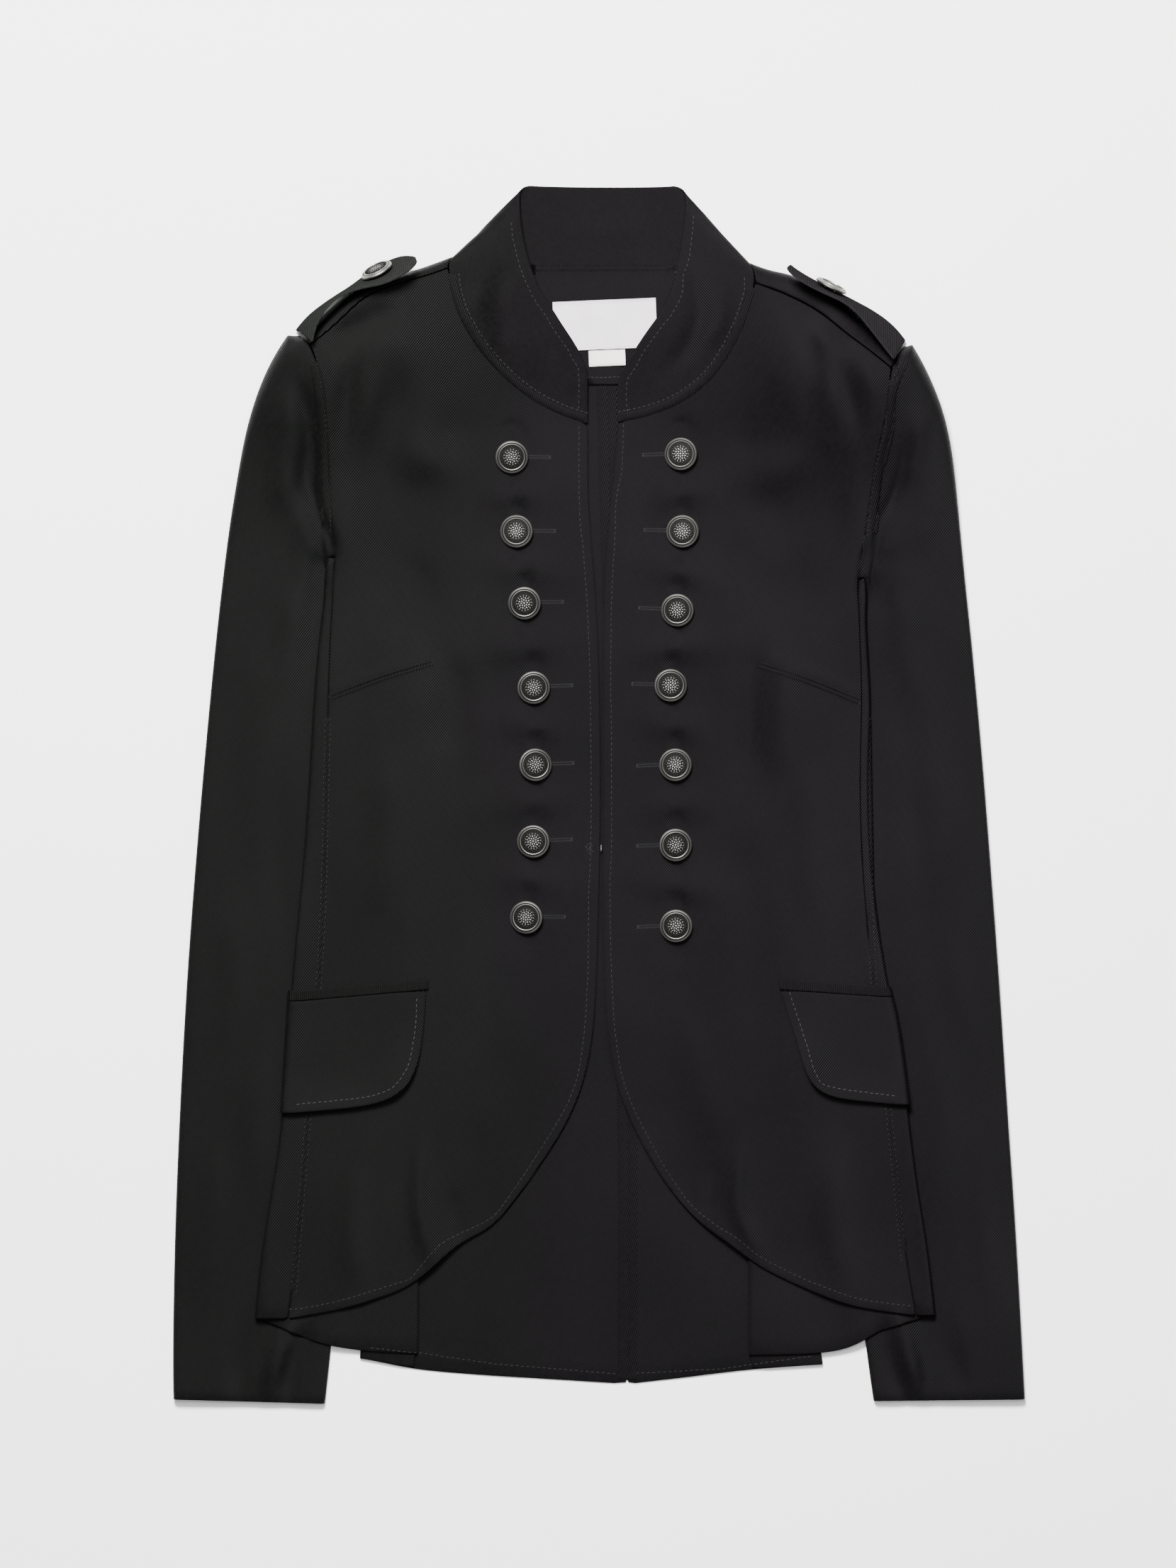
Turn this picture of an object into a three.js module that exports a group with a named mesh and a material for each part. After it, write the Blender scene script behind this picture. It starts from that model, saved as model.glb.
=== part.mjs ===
import * as THREE from 'three';

// A tailored military jacket laid out flat on its back, collar towards +Y, sleeves tucked under the
// sides of the body. Units are millimetres and the floor is z = 0. "right" and "left" are the
// wearer's: right is at -X. Each half is drawn with its own across (outward), up (towards the
// collar) and height values, and every piece of cloth is a wall of even thickness.

// Cloth and the gaps between pieces
const CLOTH = 1.2;
const HALF = CLOTH / 2;
const SEAM = 0.35;
const JOIN = 0.6;
const STACK = CLOTH + 0.4;

// Heights of the wall's middle above the floor
const REST = HALF;
const LIFT = 5.2;
const SLEEVE_TOP = 4.1;
const PLEAT_STEP = 2 * STACK;
const EDGE_GAP = 3.4;
const PANEL_GAP = 2.0;
const BUST_LOFT = 4.2;
const NECK_RISE = 15;
const SHOULDER_RISE = 28;
const SHOULDER_FALL = 112;
const SHOULDER_BOW = 3.4;
const FRONT_LEAD = 14;

// Levels up the back where the rows of the panels change
const PLEAT_TOP = -78;
const PLEAT_START = -50;
const FLANK_START = 48;
const BACK_NECK = 310.6;

// Trimmings
const BUTTON_RADIUS = 9.9;
const BUTTON_EDGE = 2.2;
const BUTTON_DOME = 1.3;
const SHANK_RADIUS = 3.4;
const SHANK_HEIGHT = 1.4;
const WELT_WIDTH = 6;
const TRIM = 1.0;

// Outward bow of a shoulder strap; the rows next to the sleeve have their own
const STRAP_BOW = 0.7;

const FACING = table('x up', [
  [-52, 242.8], [-6.5, 242.8], [9.9, 242.8], [58, 242.8], [66, 258], [68, 290], [66, 308], [4, 310],
  [-64, 308], [-66, 290], [-62, 258],
]);
const LABEL = { x: 3.4, up: 278.3, width: 61, height: 29 };
const SIZE_TAB = { x: 4.6, up: 258.7, width: 21.6, height: 9 };
const LABEL_TURN = 2.4;

const HOOK_WIRE_RADIUS = 0.4;
const HOOK = table('x up height', [
  [1.05, -29.8, 2.3], [1.05, -31.6, 2.3], [1.05, -33.2, 2.5], [1.05, -33.7, 3.3], [1.05, -32.9, 3.9],
  [1.05, -31.9, 4],
]);

const BLACK_TWILL = { color: 0x17171a, roughness: 0.86, metalness: 0 };
const OLD_SILVER = { color: 0x77736c, roughness: 0.42, metalness: 0.9 };
const LABEL_SATIN = { color: 0xcfc8cd, roughness: 0.5, metalness: 0 };
const TAB_TAPE = { color: 0xe2dcda, roughness: 0.7, metalness: 0 };
const HOOK_WIRE = { color: 0x2c2c2e, roughness: 0.4, metalness: 0.8 };

// Turns rows of numbers into rows with named columns.
function table(columns, rows) {
  const names = columns.split(' ');
  return rows.map((row) => Object.fromEntries(names.map((name, i) => [name, row[i]])));
}

const SIDES = {
  right: {
    sign: -1,
    backSeam: -1,
    corner: { neck: [86.3, 318.2], arm: [178.8, 272.3] },
    lean: [-0.78, -0.63],
    drop: { neck: 0.65, arm: 0.65 },
    underarm: 140,
    pleatFold: 141.5,
    // Outermost line of the body, from the hem up to the underarm
    edge: table('up across', [
      [-310, 203.5], [-264, 199], [-222, 191], [-189, 186.7], [-115, 182], [-29, 173.7], [51, 169],
      [93, 165.3], [140, 159.4],
    ]),
    // Side seam, which lies a little way round on the front
    seam: table('up across', [
      [-310, 184.2], [-256, 177.4], [-194, 172.4], [-113, 166.1], [-33, 161.5], [51, 160.5],
      [100, 158.8], [140, 156],
    ]),
    armhole: table('across up', [
      [156, 140], [157.9, 153], [158.8, 176], [160, 204], [161.4, 230], [164, 248],
    ]),
    // Front edge from the cutaway hem up to the neck
    opening: table('across up', [
      [62.4, -255.8], [47, -236], [30, -212], [11.5, -179], [4.4, -147], [1.5, -102], [0.4, -57],
      [-0.4, -30], [-0.4, 38], [1.1, 93], [4, 141], [6.5, 168], [6.9, 219],
    ]),
    neckline: table('across up', [
      [6.9, 219], [24.6, 225.5], [40.5, 233.9], [56.5, 246.5], [71.2, 262.9], [82.5, 281.8], [88, 298],
    ]),
    frontHem: table('across up', [
      [62.4, -255.8], [84.6, -266.7], [102, -283], [118, -293.8], [131.7, -298.2], [152.7, -304.5],
      [184.2, -310],
    ]),
    backHem: table('across up', [
      [107.3, -331], [141.8, -329], [159.8, -326], [171, -323], [186, -316.5], [201.8, -310],
    ]),
    centreHem: table('across up', [
      [-16.6, -349], [52.7, -344.8], [97, -341.9], [115, -339.6], [141.5, -334],
    ]),
    princess: table('up across', [
      [-345, 107.3], [-200, 106], [-54, 98], [80, 88], [200, 78], [312, 69.8],
    ]),
    // Free edge of the collar from its front end to the fold at the side of the neck
    collarEdge: table('across up height', [
      [6.9, 252, 5.6], [13, 265, 6.8], [20.8, 276.2, 7.8], [28.5, 288.5, 8.6], [35.5, 299.5, 9.2],
      [40.5, 311, 9.2], [44.5, 325, 8.4],
    ]),
    collarFold: table('across up height', [
      [46.5, 338, 7.2], [47, 344.5, 6.6], [47.2, 349.5, 5.9], [47.2, 353.5, 4.6], [46.9, 356.8, 3.1],
      [46, 358.9, 1.8], [44, 360.2, 1], [41, 360.8, 0.8],
    ]),
    // Shoulder strap from the sleeve seam to its tip: the edge by the floor and the raised edge
    strap: table('backAcross backUp backHeight frontAcross frontUp frontHeight', [
      [179.6, 274.7, 2.4, 169.1, 266.2, 36], [172, 284.5, 1.9, 166.5, 279, 38],
      [158, 294, 1.8, 157, 291.5, 38.5], [146, 301.5, 2, 142, 298.3, 38.5],
      [131.5, 313, 4, 128, 299.5, 38.4], [118, 318.6, 8, 114.5, 306.3, 37.6],
      [110.8, 317.9, 15.5, 108.6, 311.6, 33], [108.2, 316.6, 21, 107.4, 314.4, 28.5],
    ]),
    strapButton: 4,
    strapRoot: [2.4, 1.4],
    buttons: table('across up', [
      [51.9, 199.9], [48.9, 155.8], [44.3, 113.4], [38.9, 63.4], [38, 17.6], [38.9, -27.7], [43, -72.7],
    ]),
    welt: table('across up', [[101.2, -109.2], [182.5, -116.3]]),
    flap: table('across up', [
      [102.7, -116.5], [103.8, -136], [107.3, -158.8], [111.6, -169.5], [118.6, -177.2],
      [127.5, -181.4], [141, -184.4], [187, -188.6],
    ]),
    // Sleeve from its head to the cuff: the outer edge, the inner edge and the heights
    sleeve: table('outAcross outUp inAcross inUp head crown inner floor bow', [
      [184, 271.4, 161.4, 140.8, 27, 18, 8.8, 4.8, 5.5], [189.4, 263.4, 162.6, 139.6, 25.5, 17, 8.2, 3.4, 8], [197, 250, 163.4, 134.8, 21.5, 13.5, 6.3, 1.7, 5],
      [204.4, 231, 163, 129, 16.5, 11, 4.1, 0.6, 2], [210.2, 209, 162, 124.5, 13, 9, 4.1, 0.6, 0],
      [214.4, 184, 160, 119, 10, 7.6, 4.1, 0.6, 0], [218.4, 160, 157, 112, 8, 6.6, 4.1, 0.6, 0],
      [222, 132, 152, 102, 6.8, 6, 4.1, 0.6, 0], [226.2, 95, 142, 80, 6, 5.8, 4.1, 0.6, 0],
      [230.4, 53, 130, 46, 5.8, 5.7, 4.1, 0.6, 0], [235, 2.5, 121, -3, 5.7, 5.6, 4.1, 0.6, 0],
      [239.2, -48, 121, -53, 5.7, 5.6, 4.1, 0.6, 0], [243, -98, 128, -103, 5.7, 5.6, 4.1, 0.6, 0],
      [246, -149, 136, -152, 5.6, 5.6, 4.1, 0.6, 0], [248.5, -199, 144, -201, 5.6, 5.6, 4.1, 0.6, 0],
      [251, -262, 153, -262, 5.6, 5.6, 4.1, 0.6, 0], [252.2, -335, 160.2, -336, 5.6, 5.6, 4.1, 0.6, 0],
      [251.6, -358, 163, -360.6, 5.6, 5.6, 5, 0.6, 0],
    ]),
  },
  left: {
    sign: 1,
    backSeam: 1,
    corner: { neck: [89, 314.6], arm: [180.2, 266.4] },
    lean: [-0.5, -0.87],
    drop: { neck: 1.18, arm: 1 },
    underarm: 127,
    pleatFold: 132,
    edge: table('up across', [
      [-308, 198.4], [-272, 194.2], [-251, 191.7], [-222, 185.8], [-184, 181.7], [-135, 175.5],
      [-100, 167.5], [-46, 161], [-5, 158.5], [51, 160.2], [95, 157.9], [127, 156],
    ]),
    seam: table('up across', [
      [-308, 187.1], [-279, 181.4], [-241, 177.9], [-184, 170.7], [-100, 160.5], [-46, 155.8],
      [-5, 153.8], [51, 155.2], [95, 154], [127, 152.6],
    ]),
    armhole: table('across up', [
      [152.6, 127], [155.6, 145], [159.4, 172], [163.6, 200], [167.8, 220], [170.6, 240],
    ]),
    opening: table('across up', [
      [60, -254.5], [44, -237.7], [30.4, -216.7], [12, -179.3], [4.8, -147], [2.4, -102], [1.6, -57],
      [1.9, -30], [1.9, 38], [1.8, 78], [2.5, 123], [4.2, 152], [8.6, 193], [11, 220],
    ]),
    neckline: table('across up', [
      [11, 220], [30, 224.3], [49.4, 232.3], [65.7, 244.9], [76.6, 259.6], [84.6, 275.5], [90.4, 292],
    ]),
    frontHem: table('across up', [
      [60, -254.5], [77.9, -266.3], [90.9, -276.8], [107.7, -286], [134.6, -297.4], [151.8, -303.2],
      [187.1, -308],
    ]),
    backHem: table('across up', [
      [88, -332], [132, -330.5], [150, -327], [164.4, -318], [178, -313.6], [196.7, -308.5],
    ]),
    centreHem: table('across up', [
      [16.6, -349], [44, -346], [88, -340.6], [112, -338.9], [132, -337.5],
    ]),
    princess: table('up across', [
      [-345, 87.6], [-200, 88.5], [-54, 87], [80, 82], [200, 76.5], [308.4, 72.5],
    ]),
    collarEdge: table('across up height', [
      [11, 248, 5.6], [17, 256.5, 6.6], [22.5, 266, 7.6], [29, 275.5, 8.4], [36, 284.5, 9],
      [42.5, 296, 9.2], [46.5, 313, 8.6],
    ]),
    collarFold: table('across up height', [
      [49.5, 331, 7.4], [50.5, 339.5, 6.7], [51, 346, 5.9], [51, 351.5, 4.6], [50.5, 355.8, 3.1],
      [49.3, 358.4, 1.8], [47, 360, 1], [44, 360.6, 0.8],
    ]),
    strap: table('backAcross backUp backHeight frontAcross frontUp frontHeight', [
      [181, 268.8, 2.4, 173.4, 256.2, 36], [174.5, 277.4, 1.9, 164.5, 267.5, 37],
      [163.5, 285.8, 1.8, 155.5, 279.5, 38], [149.6, 293, 2, 146.4, 289.2, 38.5],
      [138, 299, 2.6, 132.5, 294.8, 38.4], [125.6, 305, 4.5, 120.6, 300.8, 37.6],
      [116.6, 309.8, 13, 112.6, 306.8, 34], [112.8, 312.4, 20.5, 110.4, 310.6, 28],
    ]),
    strapButton: 4,
    strapRoot: [0.7, 0.7],
    buttons: table('across up', [
      [48.5, 201.6], [49.4, 155.8], [46.4, 109.2], [42.2, 64.7], [45.1, 17.6], [45.1, -29.8], [45.6, -77.7],
    ]),
    welt: table('across up', [[106.5, -109.2], [172.2, -113.6]]),
    flap: table('across up', [
      [107, -116.4], [111.6, -131], [116.1, -144.5], [120.4, -159], [124.1, -169.3], [129, -175],
      [136.3, -178.4], [181.7, -183.8],
    ]),
    sleeve: table('outAcross outUp inAcross inUp head crown inner floor bow', [
      [184.8, 265.8, 158.2, 128, 26.5, 17, 8.8, 4.8, 3], [189.6, 257.6, 159.2, 126.6, 25, 16, 8.2, 3.4, 6], [195.5, 246, 160, 121.8, 21, 13, 6.3, 1.7, 4],
      [202.8, 228.5, 159.7, 116.5, 16, 10.6, 4.1, 0.6, 2], [208, 206.5, 158.8, 112, 12.5, 8.8, 4.1, 0.6, 0],
      [210.8, 181, 157, 106.5, 9.8, 7.4, 4.1, 0.6, 0], [213, 158, 154, 99.5, 7.8, 6.5, 4.1, 0.6, 0],
      [215.4, 132, 149, 89, 6.7, 6, 4.1, 0.6, 0], [219.4, 95, 139, 67, 6, 5.8, 4.1, 0.6, 0],
      [223.4, 53, 127, 34, 5.8, 5.7, 4.1, 0.6, 0], [227.8, 2.5, 117, -13, 5.7, 5.6, 4.1, 0.6, 0],
      [231.6, -48, 117, -57, 5.7, 5.6, 4.1, 0.6, 0], [235.4, -98, 123, -104, 5.7, 5.6, 4.1, 0.6, 0],
      [238.8, -149, 132, -152, 5.6, 5.6, 4.1, 0.6, 0], [241.9, -199, 141, -201, 5.6, 5.6, 4.1, 0.6, 0],
      [246.4, -262, 150, -262, 5.6, 5.6, 4.1, 0.6, 0], [250.2, -335, 159.4, -335, 5.6, 5.6, 4.1, 0.6, 0],
      [251.4, -358, 162.8, -359, 5.6, 5.6, 5, 0.6, 0],
    ]),
  },
};

// The shoulder's outer side, from the floor up over the top to the shoulder seam: share of the
// full height, distance in from the outline at the armhole, and offset from the corner at the neck.
const SHOULDER_PROFILE = table('rise lean neckAcross neckUp', [
  [0, 22, -16.5, -6.2], [0.02, 5.8, -6, -3], [0.12, 0.8, -1.5, -0.8], [0.35, 2.8, -0.3, -0.1],
  [0.65, 5.9, 0.6, -1.2], [0.86, 9.2, 2, -3.6], [0.96, 12.5, 2.9, -6.6], [1, 16.5, 3.4, -10.5],
]);
const BACK_LEAN = [-0.43, -0.9];
const SHOULDER_STEPS = 8;

// Centre back seam: it stands a little to the wearer's left at the hem
const CENTRE_BACK = table('up x', [[-350, 16.6], [-160, 16.6], [0, 11], [200, 5], [312, 4]]);

// Steps along the rows and columns of the panels
const PANEL_COLUMNS = 10;
const ROWS = { pleat: 6, waist: 3, flank: 6 };
const SIDE_ROWS = ROWS.pleat + ROWS.waist + ROWS.flank;
const BACK_CHEST_ROWS = 6;
const FRONT_CHEST_ROWS = 3;
const NECK_ROWS = 6;
const ARMHOLE_SPLIT = 0.5;
const FOLD_ANGLES = [-45, 0, 45, 90];
const NECK_COLUMNS = 4;

const clamp01 = (value) => Math.min(1, Math.max(0, value));
const lerp = (a, b, t) => a + (b - a) * t;

// Eases from 0 to 1 as its value does.
function ease(value) {
  const t = clamp01(value);
  return t * t * (3 - 2 * t);
}

// Reads a column of a table at a key, along a smooth curve through its rows.
function readAt(rows, key, column, at) {
  const last = rows.length - 1;
  let i = 0;
  while (i < last - 1 && at > rows[i + 1][key]) i += 1;
  const before = rows[Math.max(0, i - 1)];
  const from = rows[i];
  const to = rows[i + 1];
  const after = rows[Math.min(last, i + 2)];
  const span = to[key] - from[key];
  const t = clamp01((at - from[key]) / span);
  const slopeFrom = ((to[column] - before[column]) / (to[key] - before[key])) * span;
  const slopeTo = ((after[column] - from[column]) / (after[key] - from[key])) * span;
  const cube = t * t * t;
  const square = t * t;
  return (
    (2 * cube - 3 * square + 1) * from[column] +
    (cube - 2 * square + t) * slopeFrom +
    (3 * square - 2 * cube) * to[column] +
    (cube - square) * slopeTo
  );
}

// A smooth line through the rows of a table; the result gives the plan point at a share of its length.
function lineThrough(rows) {
  const points = rows.map((row) => new THREE.Vector3(row.across, row.up, 0));
  const curve = new THREE.CatmullRomCurve3(points, false, 'centripetal');
  curve.arcLengthDivisions = 400;
  return (share) => {
    const point = curve.getPointAt(clamp01(share));
    return [point.x, point.y];
  };
}

// Share of a line at which it reaches a level, for a line that only climbs.
function shareAtLevel(line, level) {
  let low = 0;
  let high = 1;
  for (let i = 0; i < 40; i += 1) {
    const middle = (low + high) / 2;
    if (line(middle)[1] < level) low = middle;
    else high = middle;
  }
  return (low + high) / 2;
}

const centreBackAcross = (side, up) => side.sign * readAt(CENTRE_BACK, 'up', 'x', up);
const edgeAcross = (side, up) => readAt(side.edge, 'up', 'across', up);
const seamAcross = (side, up) => readAt(side.seam, 'up', 'across', up);
const princessAcross = (side, up) => readAt(side.princess, 'up', 'across', up);

// Inner edge of the sleeve that lies under the body, at a level.
function sleeveReach(side, up) {
  const rows = side.sleeve
    .filter((row) => row.floor < 1)
    .map((row) => ({ up: row.inUp, across: row.inAcross }))
    .reverse();
  return readAt(rows, 'up', 'across', up);
}

// Lift of the cloth over the sleeve; a larger lead starts the rise further in and ends it further up.
function sleeveLift(side, across, up, lead) {
  const level = Math.min(up, side.underarm - 12);
  const slant = ease((level - 20) / 40);
  const start = sleeveReach(side, level) - 20 - 10 * slant - lead;
  const over = ease((across - start) / (14 + 4 * slant));
  return LIFT * over * (1 - ease((up - side.underarm - lead) / 45));
}

// Lift over the pleat, below its top.
const pleatLift = (up, lead) =>
  PLEAT_STEP * (1 - ease((up - PLEAT_TOP - lead) / (PLEAT_START - PLEAT_TOP)));

const backHeight = (side, across, up) => REST + sleeveLift(side, across, up, 0);

const sideBackHeight = (side, across, up) =>
  REST + Math.max(sleeveLift(side, across, up, 0), pleatLift(up, 0));

// Where a plan point lies from the shoulder seam: share along it and distance below it.
function fromShoulderSeam(side, across, up) {
  const neck = shoulderPoint(side, 0, SHOULDER_PROFILE.length - 1);
  const arm = shoulderPoint(side, 1, SHOULDER_PROFILE.length - 1);
  const along = [arm[0] - neck[0], arm[1] - neck[1]];
  const length = Math.hypot(along[0], along[1]);
  const offset = [across - neck[0], up - neck[1]];
  const share = clamp01((offset[0] * along[0] + offset[1] * along[1]) / (length * length));
  const below = (offset[0] * along[1] - offset[1] * along[0]) / length;
  return { share, below: Math.max(0, below + shoulderBow(share)) };
}

const shoulderBow = (share) => SHOULDER_BOW * 4 * share * (1 - share);
const shoulderHeight = (share) => lerp(NECK_RISE, SHOULDER_RISE, ease(share / 0.6));

// A point of the shoulder's outer side, by its share from neck to armhole and its profile row.
function shoulderPoint(side, share, index) {
  const row = SHOULDER_PROFILE[index];
  const inBack = index < 2;
  const direction = inBack ? BACK_LEAN : side.lean;
  const lean = inBack ? row.lean : row.lean * side.drop.arm;
  const neckUp = inBack ? row.neckUp : row.neckUp * side.drop.neck;
  const neck = [side.corner.neck[0] + row.neckAcross, side.corner.neck[1] + neckUp];
  const arm = [side.corner.arm[0] + direction[0] * lean, side.corner.arm[1] + direction[1] * lean];
  const bow = shoulderBow(share);
  return [
    lerp(neck[0], arm[0], share) - BACK_LEAN[0] * bow,
    lerp(neck[1], arm[1], share) - BACK_LEAN[1] * bow,
    lerp(REST, shoulderHeight(share), row.rise),
  ];
}

// Height of a front: over the back panels, raised at the bust and up to the shoulder seam.
function frontHeight(side, across, up) {
  const overPleat = pleatLift(up, FRONT_LEAD) * ease((across - princessAcross(side, up) + 36) / 24);
  const under = REST + Math.max(sleeveLift(side, across, up, FRONT_LEAD), overPleat);
  const inside = edgeAcross(side, Math.min(up, side.underarm)) - across;
  const gap = lerp(EDGE_GAP, PANEL_GAP, ease((inside - 4) / 22));
  const bust = BUST_LOFT * Math.exp(-(((across - 88) / 34) ** 2) - ((up - 92) / 44) ** 2);
  const seam = fromShoulderSeam(side, across, up);
  const base = under + gap + bust;
  return lerp(base, shoulderHeight(seam.share), ease(1 - seam.below / SHOULDER_FALL));
}

// A patch of points between four plan lines, each a function of its share; heights come last.
function coonsPatch(columns, rows, bottom, top, inner, outer, height) {
  const corners = [bottom(0), bottom(1), top(0), top(1)];
  const patch = [];
  for (let i = 0; i <= rows; i += 1) {
    const v = i / rows;
    const line = [];
    for (let j = 0; j <= columns; j += 1) {
      const u = j / columns;
      const plan = [0, 1].map(
        (k) =>
          (1 - u) * inner(v)[k] + u * outer(v)[k] + (1 - v) * bottom(u)[k] + v * top(u)[k] -
          (1 - u) * (1 - v) * corners[0][k] - u * (1 - v) * corners[1][k] -
          (1 - u) * v * corners[2][k] - u * v * corners[3][k],
      );
      line.push([plan[0], plan[1], height(plan[0], plan[1])]);
    }
    patch.push(line);
  }
  return patch;
}

// Joins lines end to end; each stage is a line and the number of steps that it takes.
function stagedLine(stages) {
  const total = stages.reduce((sum, stage) => sum + stage.steps, 0);
  return (v) => {
    let step = v * total;
    let i = 0;
    while (i < stages.length - 1 && step > stages[i].steps + 1e-9) {
      step -= stages[i].steps;
      i += 1;
    }
    const stage = stages[i];
    return stage.line(step / stage.steps);
  };
}

// A closed wall of cloth round the middle surface that the patches make together.
function clothWall(patches, sign, thickness = CLOTH) {
  const points = [];
  const index = new Map();
  const indexOf = ([across, up, height]) => {
    const key = [across, up, height].map((value) => Math.round(value * 2000)).join(' ');
    if (!index.has(key)) {
      index.set(key, points.length);
      points.push(new THREE.Vector3(sign * across, up, height));
    }
    return index.get(key);
  };
  const faces = [];
  const addFace = (a, b, c) => {
    if (a !== b && b !== c && c !== a) faces.push(sign > 0 ? [a, b, c] : [a, c, b]);
  };
  for (const patch of patches) {
    for (let i = 0; i + 1 < patch.length; i += 1) {
      for (let j = 0; j + 1 < patch[i].length; j += 1) {
        const a = indexOf(patch[i][j]);
        const b = indexOf(patch[i][j + 1]);
        const c = indexOf(patch[i + 1][j + 1]);
        const d = indexOf(patch[i + 1][j]);
        const rising = points[a].distanceTo(points[c]);
        const falling = points[b].distanceTo(points[d]);
        if (rising <= falling) {
          addFace(a, b, c);
          addFace(a, c, d);
        } else {
          addFace(a, b, d);
          addFace(b, c, d);
        }
      }
    }
  }
  return wallFromFaces(points, faces, thickness);
}

// Thickens a surface to both sides and closes its rims.
function wallFromFaces(points, faces, thickness) {
  const normals = points.map(() => new THREE.Vector3());
  const edgeOf = new Map();
  for (const [a, b, c] of faces) {
    const ab = points[b].clone().sub(points[a]);
    const ac = points[c].clone().sub(points[a]);
    const normal = ab.cross(ac);
    for (const corner of [a, b, c]) normals[corner].add(normal);
    for (const [from, to] of [[a, b], [b, c], [c, a]]) edgeOf.set(from + ' ' + to, [from, to]);
  }
  const positions = [];
  for (const direction of [1, -1]) {
    points.forEach((point, i) => {
      const offset = normals[i].clone().normalize().multiplyScalar((direction * thickness) / 2);
      positions.push(...point.clone().add(offset).toArray());
    });
  }
  const under = points.length;
  const triangles = [];
  for (const [a, b, c] of faces) triangles.push(a, b, c, a + under, c + under, b + under);
  for (const [from, to] of edgeOf.values()) {
    if (!edgeOf.has(to + ' ' + from)) {
      triangles.push(from, to + under, to, from, from + under, to + under);
    }
  }
  const geometry = new THREE.BufferGeometry();
  geometry.setAttribute('position', new THREE.Float32BufferAttribute(positions, 3));
  geometry.setIndex(triangles);
  return geometry;
}

// Points just beyond the edge of a panel, in the panel's own surface.
function beyond(edge, inside, distance = JOIN) {
  return edge.map((point, i) => {
    const step = point.map((value, k) => value - inside[i][k]);
    const length = Math.hypot(...step);
    return point.map((value, k) => value + (step[k] / length) * distance);
  });
}

// Points a little to the left of a line in plan, as it runs.
function besideLine(line, distance = 0.45) {
  return line.map((point, i) => {
    const before = line[Math.max(0, i - 1)];
    const after = line[Math.min(line.length - 1, i + 1)];
    const along = [after[0] - before[0], after[1] - before[1]];
    const length = Math.hypot(along[0], along[1]) / distance;
    return [point[0] - along[1] / length, point[1] + along[0] / length, point[2]];
  });
}

// The back of one half: centre panel with its pleat, and side panel with the shoulder and side folds.
function backPanels(side) {
  const last = SHOULDER_PROFILE.length - 1;
  const neckFoot = shoulderPoint(side, 0, 0);
  const princess = (shift) => (share, low, high) => {
    const up = lerp(low, high, share);
    return [princessAcross(side, up) + shift, up];
  };
  const hem = lineThrough(side.backHem);
  const innerLine = princess(SEAM / 2);
  const hemInner = [hem(0)[0] + SEAM / 2, hem(0)[1]];
  const rows = SIDE_ROWS + BACK_CHEST_ROWS;
  const foldStart = (up) => {
    const outer = edgeAcross(side, up);
    const low = backHeight(side, outer - 2, up);
    const radius = (frontHeight(side, outer - 2, up) - low) / 2;
    return { across: outer - radius, low, radius };
  };
  const hemOuterUp = side.edge[0].up;
  const inner = stagedLine([
    { line: (s) => (s === 0 ? hemInner : innerLine(s, hemInner[1], PLEAT_TOP)), steps: ROWS.pleat },
    { line: (s) => innerLine(s, PLEAT_TOP, FLANK_START), steps: ROWS.waist },
    { line: (s) => innerLine(s, FLANK_START, side.underarm), steps: ROWS.flank },
    { line: (s) => innerLine(s, side.underarm, neckFoot[1]), steps: BACK_CHEST_ROWS },
  ]);
  const sideLine = (low, high) => (s) => {
    const up = lerp(low, high, s);
    return [foldStart(up).across, up];
  };
  const armFoot = shoulderPoint(side, 1, 0);
  const armRows = [
    { across: foldStart(side.underarm).across, up: side.underarm },
    ...side.armhole.slice(1, -1),
    { across: armFoot[0], up: armFoot[1] },
  ];
  const outer = stagedLine([
    { line: sideLine(hemOuterUp, PLEAT_TOP), steps: ROWS.pleat },
    { line: sideLine(PLEAT_TOP, FLANK_START), steps: ROWS.waist },
    { line: sideLine(FLANK_START, side.underarm), steps: ROWS.flank },
    { line: lineThrough(armRows), steps: BACK_CHEST_ROWS },
  ]);
  const bottom = (u) => {
    const point = hem(u);
    if (u === 0) return hemInner;
    return u === 1 ? [foldStart(hemOuterUp).across, hemOuterUp] : point;
  };
  const top = (u) => {
    const point = shoulderPoint(side, u, 0);
    return u === 0 ? [point[0] + SEAM / 2, point[1]] : point;
  };
  const main = coonsPatch(PANEL_COLUMNS, rows, bottom, top, inner, outer, (a, b) => sideBackHeight(side, a, b));

  // Shoulder: the same columns as the main patch, climbing to the shoulder seam
  const shoulder = [main[rows]];
  for (let q = 1; q <= last; q += 1) {
    shoulder.push(main[rows].map((_, j) => shoulderPoint(side, j / PANEL_COLUMNS, q)));
  }

  // Side fold: rolls over the edge and runs in to the side seam
  const fold = [];
  for (let i = 0; i <= SIDE_ROWS; i += 1) {
    const start = main[i][PANEL_COLUMNS];
    const { radius } = foldStart(start[1]);
    const line = [start];
    for (const degrees of FOLD_ANGLES) {
      const angle = THREE.MathUtils.degToRad(degrees);
      const across = start[0] + radius * Math.cos(angle);
      line.push([across, start[1], start[2] + radius * (1 + Math.sin(angle))]);
    }
    const seam = seamAcross(side, start[1]) + SEAM / 2;
    for (const share of [0.5, 1]) {
      const across = lerp(start[0], seam, share);
      line.push([across, start[1], frontHeight(side, across, start[1])]);
    }
    fold.push(line);
  }
  return { main, shoulder, fold };
}

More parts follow.
